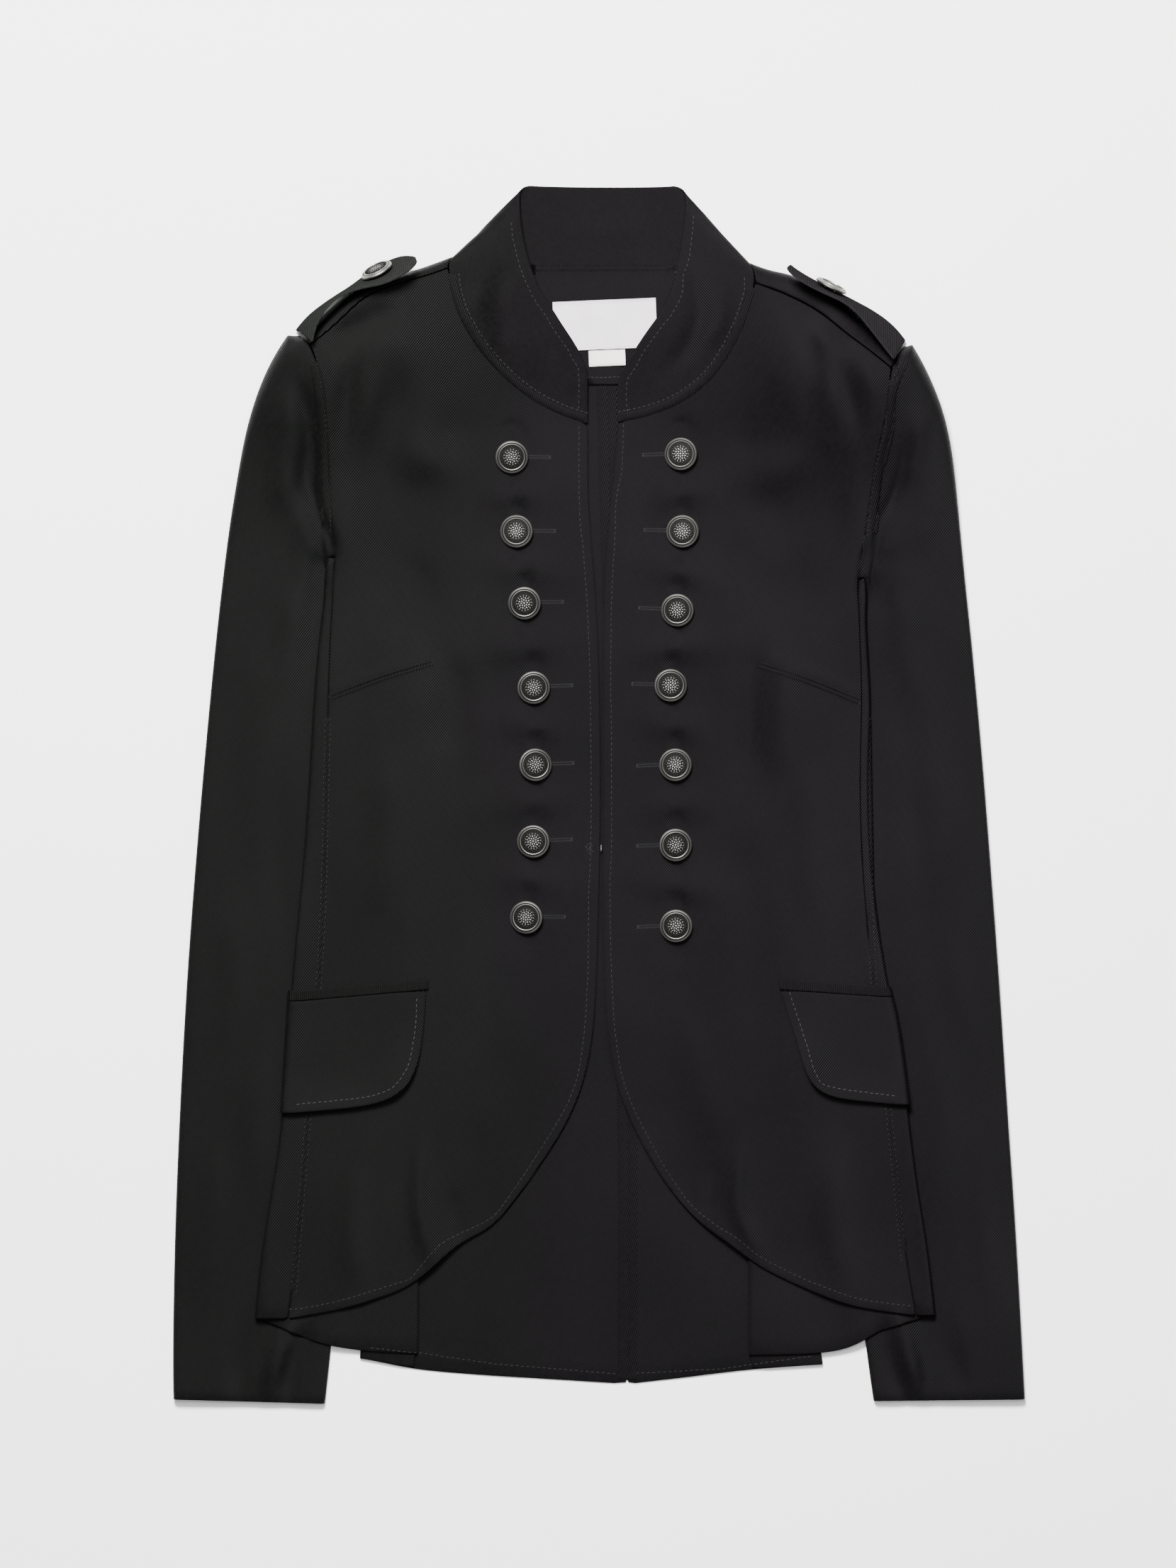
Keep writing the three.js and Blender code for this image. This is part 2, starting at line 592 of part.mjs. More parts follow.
// Centre back of one half: flat on the floor, with the pleat's under layer below the waist.
function centreBack(side) {
  const neckFoot = shoulderPoint(side, 0, 0);
  const hem = lineThrough(side.centreHem);
  const hemStart = [centreBackAcross(side, side.centreHem[0].up) + SEAM / 2, side.centreHem[0].up];
  let share = 0;
  while (hem(share)[0] < princessAcross(side, -340) - SEAM / 2) share += 0.002;
  const princessHem = [princessAcross(side, -340) - SEAM / 2, hem(share)[1]];
  const upperRows = ROWS.waist + ROWS.flank;
  const rows = ROWS.pleat + upperRows;
  const seam = (across, low, high) => (s) => {
    const up = lerp(low, high, s);
    return [across(up), up];
  };
  const centreSeam = (up) => centreBackAcross(side, up) + SEAM / 2;
  const sideSeam = (up) => princessAcross(side, up) - SEAM / 2;
  const inner = stagedLine([
    { line: seam(centreSeam, hemStart[1], PLEAT_TOP), steps: ROWS.pleat },
    { line: seam(centreSeam, PLEAT_TOP, BACK_NECK), steps: upperRows },
  ]);
  const outer = stagedLine([
    { line: seam(sideSeam, princessHem[1], PLEAT_TOP), steps: ROWS.pleat },
    { line: seam(sideSeam, PLEAT_TOP, neckFoot[1]), steps: upperRows },
  ]);
  const bottom = (u) => {
    if (u === 0) return hemStart;
    return u === 1 ? princessHem : hem(u * share);
  };
  const top = (u) => {
    const start = inner(1);
    const end = outer(1);
    return [lerp(start[0], end[0], u), lerp(start[1], end[1], u)];
  };
  const main = coonsPatch(NECK_COLUMNS, rows, bottom, top, inner, outer, (a, b) => backHeight(side, a, b));

  // Pleat: out under the side back, round a flat fold and back to the seam
  const pleat = [];
  for (let i = 0; i <= ROWS.pleat; i += 1) {
    const start = main[i][NECK_COLUMNS];
    const rise = i / ROWS.pleat;
    const reach = lerp(side.pleatFold - start[0], 9, rise);
    const drop = i === 0 ? hem(1)[1] - start[1] : 0;
    const radius = STACK / 2;
    const line = [start];
    for (const out of [0.5, 1]) {
      line.push([start[0] + (reach - radius) * out, start[1] + drop * out, start[2]]);
    }
    for (const degrees of FOLD_ANGLES) {
      const angle = THREE.MathUtils.degToRad(degrees);
      const across = start[0] + reach - radius + radius * Math.cos(angle);
      line.push([across, start[1] + drop, start[2] + radius * (1 + Math.sin(angle))]);
    }
    line.push([start[0] + 2, start[1] + drop * 0.2, start[2] + STACK]);
    pleat.push(line);
  }
  return { main, pleat, rows };
}

// One front: cutaway hem, front edge, neck, shoulder seam, armhole and side seam.
function frontPanel(side) {
  const last = SHOULDER_PROFILE.length - 1;
  const opening = lineThrough(side.opening);
  const neckTop = shoulderPoint(side, 0, last);
  const armTop = shoulderPoint(side, 1, last);
  const tuck = (point) => [point[0] + BACK_LEAN[0] * JOIN, point[1] + BACK_LEAN[1] * JOIN];
  const necklineEnd = tuck(neckTop);
  const neckline = lineThrough([...side.neckline, { across: necklineEnd[0], up: necklineEnd[1] }]);
  const armholeEnd = tuck(armTop);
  const armhole = lineThrough([...side.armhole, { across: armholeEnd[0], up: armholeEnd[1] }]);
  const chest = shareAtLevel(opening, side.underarm);
  const seamLine = (low, high) => (s) => {
    const up = lerp(low, high, s);
    return [seamAcross(side, up) - SEAM / 2, up];
  };
  const inner = stagedLine([
    { line: (s) => opening(s * chest), steps: SIDE_ROWS },
    { line: (s) => opening(lerp(chest, 1, s)), steps: FRONT_CHEST_ROWS },
    { line: neckline, steps: NECK_ROWS },
  ]);
  const outer = stagedLine([
    { line: seamLine(side.edge[0].up, PLEAT_TOP), steps: ROWS.pleat },
    { line: seamLine(PLEAT_TOP, FLANK_START), steps: ROWS.waist },
    { line: seamLine(FLANK_START, side.underarm), steps: ROWS.flank },
    { line: (s) => armhole(s * ARMHOLE_SPLIT), steps: FRONT_CHEST_ROWS },
    { line: (s) => armhole(lerp(ARMHOLE_SPLIT, 1, s)), steps: NECK_ROWS },
  ]);
  const hem = lineThrough(side.frontHem);
  const bottom = (u) => (u === 1 ? seamLine(side.edge[0].up, 0)(0) : hem(u));
  const top = (u) => tuck(shoulderPoint(side, u, last));
  const rows = SIDE_ROWS + FRONT_CHEST_ROWS + NECK_ROWS;
  const main = coonsPatch(PANEL_COLUMNS, rows, bottom, top, inner, outer, (a, b) => frontHeight(side, a, b));
  return { main, rows };
}

// A sleeve as a flattened tube: its first ring follows the armhole, the others the table.
function sleevePatch(side, front, back) {
  const last = SHOULDER_PROFILE.length - 1;
  const frontRows = front.main.slice(SIDE_ROWS);
  const frontEdge = beyond(
    frontRows.map((line) => line[PANEL_COLUMNS]),
    frontRows.map((line) => line[PANEL_COLUMNS - 1]),
  ).reverse();
  const backRows = back.main.slice(SIDE_ROWS);
  const backEdge = beyond(
    backRows.map((line) => line[PANEL_COLUMNS]),
    backRows.map((line) => line[PANEL_COLUMNS - 1]),
  );
  const shoulderEdge = beyond(
    back.shoulder.map((line) => line[PANEL_COLUMNS]),
    back.shoulder.map((line) => line[PANEL_COLUMNS - 1]),
  );
  const underarm = beyond(back.fold[SIDE_ROWS], back.fold[SIDE_ROWS - 1], CLOTH + SEAM).reverse();
  for (const corner of [frontEdge[frontEdge.length - 1], backEdge[0]]) corner[1] += CLOTH + SEAM;
  const head = shoulderEdge.slice(1, last);
  const top = frontEdge;
  const turn = underarm.slice(1, -1);
  const bottom = backEdge;
  const ring0 = [...head, ...top, ...turn, ...bottom];
  const rings = [ring0];
  for (let index = 0; index < side.sleeve.length; index += 1) {
    rings.push(sleeveRing(side, index, head.length, top.length, turn.length, bottom.length));
  }
  return rings.map((ring) => [...ring, ring[0]]);
}

// One ring of a sleeve: round the outer edge, over the top, round the inner edge and back below.
function sleeveRing(side, index, headCount, topCount, turnCount, bottomCount) {
  const row = side.sleeve[index];
  const before = side.sleeve[Math.max(index - 1, 0)];
  const after = side.sleeve[Math.min(index + 1, side.sleeve.length - 1)];
  const outer = [row.outAcross, row.outUp];
  const inner = [row.inAcross, row.inUp];
  const chord = [inner[0] - outer[0], inner[1] - outer[1]];
  const length = Math.hypot(chord[0], chord[1]);
  const along = [chord[0] / length, chord[1] / length];
  const across = [-along[1], along[0]];
  const headRadius = (row.head - row.floor) / 2;
  const turnRadius = (row.inner - row.floor) / 2;
  const place = (distance, height) => {
    const share = distance / length;
    const bow = row.bow * 4 * share * (1 - share);
    return [
      outer[0] + along[0] * distance - across[0] * bow,
      outer[1] + along[1] * distance - across[1] * bow,
      height,
    ];
  };
  const headReach = Math.min(headRadius, 9);
  // A ring that meets the inner edge aslant turns round it in a longer bend
  const course = [after.inAcross - before.inAcross, after.inUp - before.inUp];
  const slant = Math.abs(along[0] * course[1] - along[1] * course[0]) / Math.hypot(course[0], course[1]);
  const turnReach = turnRadius / Math.max(slant, 0.24);
  const floorAt = (share) => lerp(REST, row.floor, ease((share - 0.6) / 0.4));
  const ring = [];
  for (let i = 1; i <= headCount; i += 1) {
    const angle = -Math.PI / 2 + (Math.PI * i) / (headCount + 1);
    const height = lerp(REST, row.head, (1 + Math.sin(angle)) / 2);
    ring.push(place(headReach * (1 - Math.cos(angle)), height));
  }
  const flat = [headReach, length - turnReach];
  for (let i = 0; i < topCount; i += 1) {
    const share = i / (topCount - 1);
    const distance = lerp(flat[0], flat[1], share);
    const point = place(distance, 0);
    const bodyEdge = edgeAcross(side, Math.min(point[1], side.underarm));
    const clear = Math.max(ease((point[0] - bodyEdge - 2.5) / 12), ease((point[1] - side.underarm + 12) / 30));
    const crown = lerp(row.head, row.crown, ease(share * 1.6));
    const high = row.floor > 1 ? lerp(crown, row.inner, ease(share * 1.25 - 0.25)) : crown;
    const nearInner = ease((1 - share) / 0.12);
    point[2] = lerp(row.inner, Math.max(high, row.inner), row.floor > 1 ? 1 : clear * nearInner);
    ring.push(point);
  }
  for (let i = 1; i <= turnCount; i += 1) {
    const angle = Math.PI / 2 - (Math.PI * i) / (turnCount + 1);
    const height = lerp(row.floor, row.inner, (1 + Math.sin(angle)) / 2);
    ring.push(place(flat[1] + turnReach * Math.cos(angle), height));
  }
  for (let i = 0; i < bottomCount; i += 1) {
    const share = 1 - i / (bottomCount - 1);
    ring.push(place(lerp(flat[0], flat[1], share), floorAt(share)));
  }
  return ring;
}

// Half of the collar, from its front end round the side fold to the centre back.
function collarHalf(side, front, back, centre) {
  const neckRows = front.main.slice(SIDE_ROWS + FRONT_CHEST_ROWS, -1);
  const frontSeam = besideLine(neckRows.map((line) => line[0]));
  const foldSeam = beyond(
    back.shoulder.map((line) => line[0]),
    back.shoulder.map((line) => line[1]),
  ).reverse();
  const topRow = centre.main[centre.rows];
  const backSeam = beyond(topRow, centre.main[centre.rows - 1]).reverse().slice(1);
  const frontFree = side.collarEdge.map((row) => [row.across, row.up, row.height]);
  const foldFree = side.collarFold.map((row) => [row.across, row.up, row.height]);
  const cornerFree = foldFree[foldFree.length - 1];
  const seams = [...frontSeam, ...foldSeam, ...backSeam];
  const backFree = seams.slice(frontFree.length + foldFree.length).map((point, i, rest) => {
    const share = (i + 1) / rest.length;
    return [lerp(cornerFree[0], point[0], share ** 1.2), cornerFree[1] - 1.2 * share, 0.8];
  });
  const frees = [...frontFree, ...foldFree, ...backFree];
  const steps = 4;
  return seams.map((seam, i) => {
    const line = [];
    for (let j = 0; j <= steps; j += 1) {
      const t = j / steps;
      const bulge = 0.9 * 4 * t * (1 - t) * foldShare(i, frontSeam.length, foldSeam.length);
      line.push([
        lerp(seam[0], frees[i][0], t) + bulge * 0.6,
        lerp(seam[1], frees[i][1], t) + bulge,
        lerp(seam[2], frees[i][2], t),
      ]);
    }
    return line;
  });
}

// How far a station of the collar belongs to its side fold, from 0 to 1.
function foldShare(i, start, count) {
  const position = (i - start) / (count - 1);
  return position < 0 || position > 1 ? 0 : Math.sin(Math.PI * position);
}

// The shoulder strap between its two edges, bowed a little outwards.
function strapPatch(side) {
  const steps = 5;
  return side.strap.map((row, i) => {
    const line = [];
    const fullness = side.strapRoot[i] ?? STRAP_BOW;
    for (let j = 0; j <= steps; j += 1) {
      const t = j / steps;
      const bow = fullness * 4 * t * (1 - t);
      line.push([
        lerp(row.backAcross, row.frontAcross, t) - BACK_LEAN[0] * bow,
        lerp(row.backUp, row.frontUp, t) - BACK_LEAN[1] * bow,
        lerp(row.backHeight, row.frontHeight, t),
      ]);
    }
    return line;
  });
}

// Height of a patch's surface at a plan point, read on the facets that the patch is drawn with.
function heightOn(patch, across, up) {
  for (let i = 0; i + 1 < patch.length; i += 1) {
    for (let j = 0; j + 1 < patch[i].length; j += 1) {
      const [a, b, c, d] = [patch[i][j], patch[i][j + 1], patch[i + 1][j + 1], patch[i + 1][j]];
      const height = heightIn(a, b, c, across, up) ?? heightIn(a, c, d, across, up);
      if (height !== null) return height;
    }
  }
  return null;
}

function heightIn(a, b, c, across, up) {
  const area = (b[0] - a[0]) * (c[1] - a[1]) - (c[0] - a[0]) * (b[1] - a[1]);
  const shareB = ((across - a[0]) * (c[1] - a[1]) - (c[0] - a[0]) * (up - a[1])) / area;
  const shareC = ((b[0] - a[0]) * (up - a[1]) - (across - a[0]) * (b[1] - a[1])) / area;
  if (shareB < -1e-6 || shareC < -1e-6 || shareB + shareC > 1 + 1e-6) return null;
  return a[2] + shareB * (b[2] - a[2]) + shareC * (c[2] - a[2]);
}

// Lays a plan patch on a front and rolls its outer end round the side of the body.
function laidOnSide(side, plan, front, fold) {
  const surface = [...front.main.slice(0, SIDE_ROWS + 1)].map((line, i) => [
    ...line,
    ...[...fold[i]].reverse().slice(0, 3),
  ]);
  return plan.map((line) => {
    const last = line[line.length - 1];
    const up = last[1];
    const outer = edgeAcross(side, up);
    const low = backHeight(side, outer - 2, up);
    const radius = (frontHeight(side, outer - 2, up) - low) / 2;
    const laid = line.map(([across, level]) => [
      across,
      level,
      (heightOn(surface, across, level) ?? frontHeight(side, across, level)) + STACK + 0.15,
    ]);
    const centre = outer - radius;
    const reach = radius + STACK;
    const rolled = [90, 45, 5].map((degrees) => {
      const angle = THREE.MathUtils.degToRad(degrees);
      return [centre + reach * Math.cos(angle), up, low + radius + reach * Math.sin(angle) + (degrees === 90 ? 0.1 : 0)];
    });
    return [...laid, ...rolled];
  });
}

const weltLine = (side) => (u) => {
  const [from, to] = side.welt;
  return [lerp(from.across, to.across, u), lerp(from.up, to.up, u)];
};

// Share of a pocket line at which the body's side begins to roll under.
const ROLL_SHARE = 0.93;

// A pocket flap, hung below its welt, with a rounded inner corner.
function flapPatch(side, front, fold) {
  const outline = lineThrough(side.flap);
  const welt = weltLine(side);
  const split = 0.42;
  const inner = (v) => outline(split * (1 - v));
  const bottom = (u) => outline(lerp(split, ROLL_SHARE + 0.02, u));
  const top = (u) => {
    const point = welt(u * ROLL_SHARE);
    return u === 0 ? outline(0) : [point[0], point[1] - WELT_WIDTH - SEAM];
  };
  const outer = (v) => [lerp(bottom(1)[0], top(1)[0], v), lerp(bottom(1)[1], top(1)[1], v)];
  return laidOnSide(side, coonsPatch(6, 5, bottom, top, inner, outer, () => 0), front, fold);
}

// The welt that finishes the pocket's mouth, above the flap.
function weltPatch(side, front, fold) {
  const line = weltLine(side);
  const plan = [WELT_WIDTH, 0].map((down) => {
    const points = [];
    for (let j = 0; j <= 6; j += 1) {
      const [across, up] = line((j / 6) * ROLL_SHARE);
      points.push([across, up - down, 0]);
    }
    return points;
  });
  return laidOnSide(side, plan, front, fold);
}

// A domed button with a raised rim, on a short shank; its foot is at the origin.
function buttonGeometry() {
  const face = SHANK_HEIGHT + BUTTON_EDGE;
  const profile = [
    [0, 0], [SHANK_RADIUS, 0], [SHANK_RADIUS, SHANK_HEIGHT], [BUTTON_RADIUS - 0.9, SHANK_HEIGHT],
    [BUTTON_RADIUS, face - 1], [BUTTON_RADIUS - 0.8, face + 0.2], [BUTTON_RADIUS - 2, face - 0.3],
    [BUTTON_RADIUS * 0.5, face + BUTTON_DOME * 0.7], [0, face + BUTTON_DOME],
  ];
  const points = profile.map(([radius, height]) => new THREE.Vector2(radius, height));
  return new THREE.LatheGeometry(points, 14).rotateX(Math.PI / 2);
}

const jacket = new THREE.Group();

function addPiece(name, geometry, finish) {
  const mesh = new THREE.Mesh(geometry, new THREE.MeshStandardMaterial(finish));
  mesh.name = name;
  jacket.add(mesh);
  return mesh;
}

// Sets a button on a surface: foot just clear of it and face along its normal.
function addButton(name, foot, normal) {
  const mesh = addPiece(name, buttonGeometry(), OLD_SILVER);
  mesh.position.copy(foot).addScaledVector(normal, HALF + 0.45);
  mesh.quaternion.setFromUnitVectors(new THREE.Vector3(0, 0, 1), normal);
}

function addFrontButtons(side, front, label) {
  const height = (across, up) => heightOn(front.main, across, up);
  side.buttons.forEach((row, i) => {
    const reach = SHANK_RADIUS;
    const [inward, outward] = [-reach, reach].map((step) => height(row.across + step, row.up));
    const [below, above] = [-reach, reach].map((step) => height(row.across, row.up + step));
    const slopes = [(outward - inward) / (2 * reach), (above - below) / (2 * reach)];
    const normal = new THREE.Vector3(-side.sign * slopes[0], -slopes[1], 1).normalize();
    const seat = Math.max(height(row.across, row.up), (inward + outward) / 2, (below + above) / 2);
    const foot = new THREE.Vector3(side.sign * row.across, row.up, seat);
    addButton('button_' + label + '_' + (i + 1), foot, normal);
  });
}

function addStrapButton(side, patch, label) {
  const row = patch[side.strapButton];
  const next = patch[side.strapButton + 1];
  const middle = Math.floor(row.length / 2);
  const toVector = ([across, up, height]) => new THREE.Vector3(side.sign * across, up, height);
  const foot = toVector(row[middle]).add(toVector(row[middle - 1])).multiplyScalar(0.5);
  const alongStrap = toVector(next[middle]).sub(toVector(row[middle]));
  const upStrap = toVector(row[middle]).sub(toVector(row[middle - 1]));
  const normal = alongStrap.cross(upStrap).normalize();
  if (normal.y < 0) normal.negate();
  addButton('button_strap_' + label, foot, normal);
}

// The collar is one ribbon from the right front end round the neck to the left one.
function collarPatch(panels) {
  const halves = ['right', 'left'].map((label) => {
    const side = SIDES[label];
    const { front, back, centre } = panels[label];
    return collarHalf(side, front, back, centre).map((line) =>
      line.map(([across, up, height]) => [side.sign * across, up, height]),
    );
  });
  const [right, left] = halves;
  const middle = right[right.length - 1].map(([, up, height], j) => {
    const match = left[left.length - 1][j];
    return [readAt(CENTRE_BACK, 'up', 'x', 312), (up + match[1]) / 2, height];
  });
  return [...right.slice(0, -1), middle, ...left.slice(0, -1).reverse()];
}

const panels = {};
for (const [label, side] of Object.entries(SIDES)) {
  const back = backPanels(side);
  const centre = centreBack(side);
  const front = frontPanel(side);
  panels[label] = { back, centre, front };
  const sleeve = sleevePatch(side, front, back);
  const strap = strapPatch(side);
  addPiece('front_' + label, clothWall([front.main], side.sign), BLACK_TWILL);
  addPiece('side_back_' + label, clothWall([back.main, back.shoulder, back.fold], side.sign), BLACK_TWILL);
  addPiece('centre_back_' + label, clothWall([centre.main, centre.pleat], side.sign), BLACK_TWILL);
  addPiece('sleeve_' + label, clothWall([sleeve], side.sign), BLACK_TWILL);
  addPiece('pocket_flap_' + label, clothWall([flapPatch(side, front, back.fold)], side.sign), BLACK_TWILL);
  addPiece('pocket_welt_' + label, clothWall([weltPatch(side, front, back.fold)], side.sign), BLACK_TWILL);
  addPiece('shoulder_strap_' + label, clothWall([strap], side.sign), BLACK_TWILL);
  addFrontButtons(side, front, label);
  addStrapButton(side, strap, label);
}

addPiece('collar', clothWall([collarPatch(panels)], 1), BLACK_TWILL);

// Back neck facing, with the label and the size tab on it
const facingOutline = new THREE.Shape(
  FACING.map((row) => new THREE.Vector2(row.x, row.up)),
);
const facingBase = REST + HALF + SEAM;
const facing = new THREE.ExtrudeGeometry(facingOutline, { depth: TRIM, bevelEnabled: false });
addPiece('back_neck_facing', facing, BLACK_TWILL).position.z = facingBase;
const tapeHeight = facingBase + TRIM + SEAM + TRIM / 2;
for (const [name, piece, finish] of [['label', LABEL, LABEL_SATIN], ['size_tab', SIZE_TAB, TAB_TAPE]]) {
  const mesh = addPiece(name, new THREE.BoxGeometry(piece.width, piece.height, TRIM), finish);
  mesh.position.set(piece.x, piece.up, tapeHeight);
  mesh.rotation.z = THREE.MathUtils.degToRad(LABEL_TURN);
}

// Hook at the waist: its bend shows in the gap between the fronts
const hookPath = new THREE.CatmullRomCurve3(
  HOOK.map((row) => new THREE.Vector3(row.x, row.up, row.height)),
);
const hookSection = new THREE.Shape().absarc(0, 0, HOOK_WIRE_RADIUS, 0, 2 * Math.PI);
const hook = new THREE.ExtrudeGeometry(hookSection, { extrudePath: hookPath, steps: 10, curveSegments: 6 });
addPiece('waist_hook', hook, HOOK_WIRE);

// The frame's origin is the middle of the jacket's outline, on the floor
const bounds = new THREE.Box3().setFromObject(jacket, true);
const middle = bounds.getCenter(new THREE.Vector3()).setZ(bounds.min.z);
for (const piece of jacket.children) piece.position.sub(middle);

export default jacket;
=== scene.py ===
"""A black military jacket laid flat on a pale floor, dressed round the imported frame.

Tables give sizes in millimetres, seen from above: across grows to the wearer's left and up grows
to the collar. Everything that Blender receives is in metres.
"""

import logging
import math
import random
from dataclasses import dataclass, field
from enum import Enum
from typing import Protocol

import bmesh
import bpy
import numpy as np
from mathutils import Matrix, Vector
from mathutils.bvhtree import BVHTree


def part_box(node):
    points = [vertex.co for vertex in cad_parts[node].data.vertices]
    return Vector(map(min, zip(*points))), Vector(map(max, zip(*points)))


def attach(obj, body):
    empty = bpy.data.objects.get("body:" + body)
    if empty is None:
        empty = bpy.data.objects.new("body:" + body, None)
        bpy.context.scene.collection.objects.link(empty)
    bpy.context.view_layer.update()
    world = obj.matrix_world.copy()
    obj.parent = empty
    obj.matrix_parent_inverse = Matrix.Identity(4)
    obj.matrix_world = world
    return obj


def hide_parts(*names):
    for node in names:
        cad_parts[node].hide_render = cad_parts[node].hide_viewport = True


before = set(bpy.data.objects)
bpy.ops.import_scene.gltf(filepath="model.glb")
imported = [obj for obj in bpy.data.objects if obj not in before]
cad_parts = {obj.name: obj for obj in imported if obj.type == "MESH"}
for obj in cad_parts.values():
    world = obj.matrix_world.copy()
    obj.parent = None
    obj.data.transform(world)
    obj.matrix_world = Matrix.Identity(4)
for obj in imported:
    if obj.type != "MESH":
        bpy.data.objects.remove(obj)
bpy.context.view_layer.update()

log = logging.getLogger("jacket")
MM = 0.001
BODY = "root"
LABEL_MIDDLE = (3.4, 278.3)
TAB_MIDDLE = (4.6, 258.7)
# Points nearer than this are welded, in metres
WELD = 3e-6
# Millimetres in one unit of the grain map
GRAIN_UNIT = 100

Colour = tuple[float, float, float]
Spot = tuple[float, float]
Line = tuple[Spot, ...]


class Slot(Enum):
    """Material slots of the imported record."""

    TWILL = "black_twill"
    SILVER = "old_silver"
    SATIN = "label_satin"
    TAPE = "tab_tape"
    WIRE = "hook_wire"


class Side(Enum):
    """The wearer's sides, with the sign of across on each."""

    RIGHT = -1
    LEFT = 1

    @property
    def word(self) -> str:
        """The side's name inside node names."""
        return self.name.lower()


def plan_shift() -> Spot:
    """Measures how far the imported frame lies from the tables' plan.

    Returns:
        The shift across and up in millimetres.
    """
    low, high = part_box("label")
    return (
        (low.x + high.x) / 2 / MM - LABEL_MIDDLE[0],
        (low.y + high.y) / 2 / MM - LABEL_MIDDLE[1],
    )


SHIFT = plan_shift()


def spot(across: float, up: float, height: float = 0.0) -> Vector:
    """A plan point of the tables as a point of the frame, in metres."""
    return Vector((across + SHIFT[0], up + SHIFT[1], height)) * MM


# Shader maths


class Wire:
    """A shader socket that takes arithmetic; each operation adds its Math node."""

    def __init__(self, recipe: "Recipe", socket: bpy.types.NodeSocket) -> None:
        """Keeps the recipe and the socket.

        Args:
            recipe: The material being made.
            socket: The output socket that this wire carries.
        """
        self.recipe = recipe
        self.socket = socket

    def maths(self, operation: str, *terms: "Wire | float") -> "Wire":
        """Adds one Math node.

        Args:
            operation: The Math node's operation.
            *terms: Its inputs in order.

        Returns:
            The node's result.
        """
        return self.recipe.add("ShaderNodeMath", {"operation": operation}, dict(enumerate(terms)))

    def __add__(self, other: "Wire | float") -> "Wire":
        """This wire plus another."""
        return self.maths("ADD", self, other)

    def __radd__(self, other: float) -> "Wire":
        """A number plus this wire."""
        return self.maths("ADD", other, self)

    def __sub__(self, other: "Wire | float") -> "Wire":
        """This wire less another."""
        return self.maths("SUBTRACT", self, other)

    def __rsub__(self, other: float) -> "Wire":
        """A number less this wire."""
        return self.maths("SUBTRACT", other, self)

    def __mul__(self, other: "Wire | float") -> "Wire":
        """This wire times another."""
        return self.maths("MULTIPLY", self, other)

    def __rmul__(self, other: float) -> "Wire":
        """A number times this wire."""
        return self.maths("MULTIPLY", other, self)

    def wave(self) -> "Wire":
        """A smooth wave from 0 to 1 with a period of 1."""
        return self.maths("SINE", self * math.tau) * 0.5 + 0.5

    def power(self, exponent: float) -> "Wire":
        """This wire raised to a power."""
        return self.maths("POWER", self, exponent)

    def size(self) -> "Wire":
        """The value without its sign."""
        return self.maths("ABSOLUTE", self)

    def between(self, low: float, high: float) -> "Wire":
        """Makes a smooth step.

        Args:
            low: The step is 0 below this.
            high: The step is 1 above this.

        Returns:
            The step's value.
        """
        settings = {"interpolation_type": "SMOOTHSTEP"}
        return self.recipe.add(
            "ShaderNodeMapRange", settings, {"Value": self, "From Min": low, "From Max": high}
        )


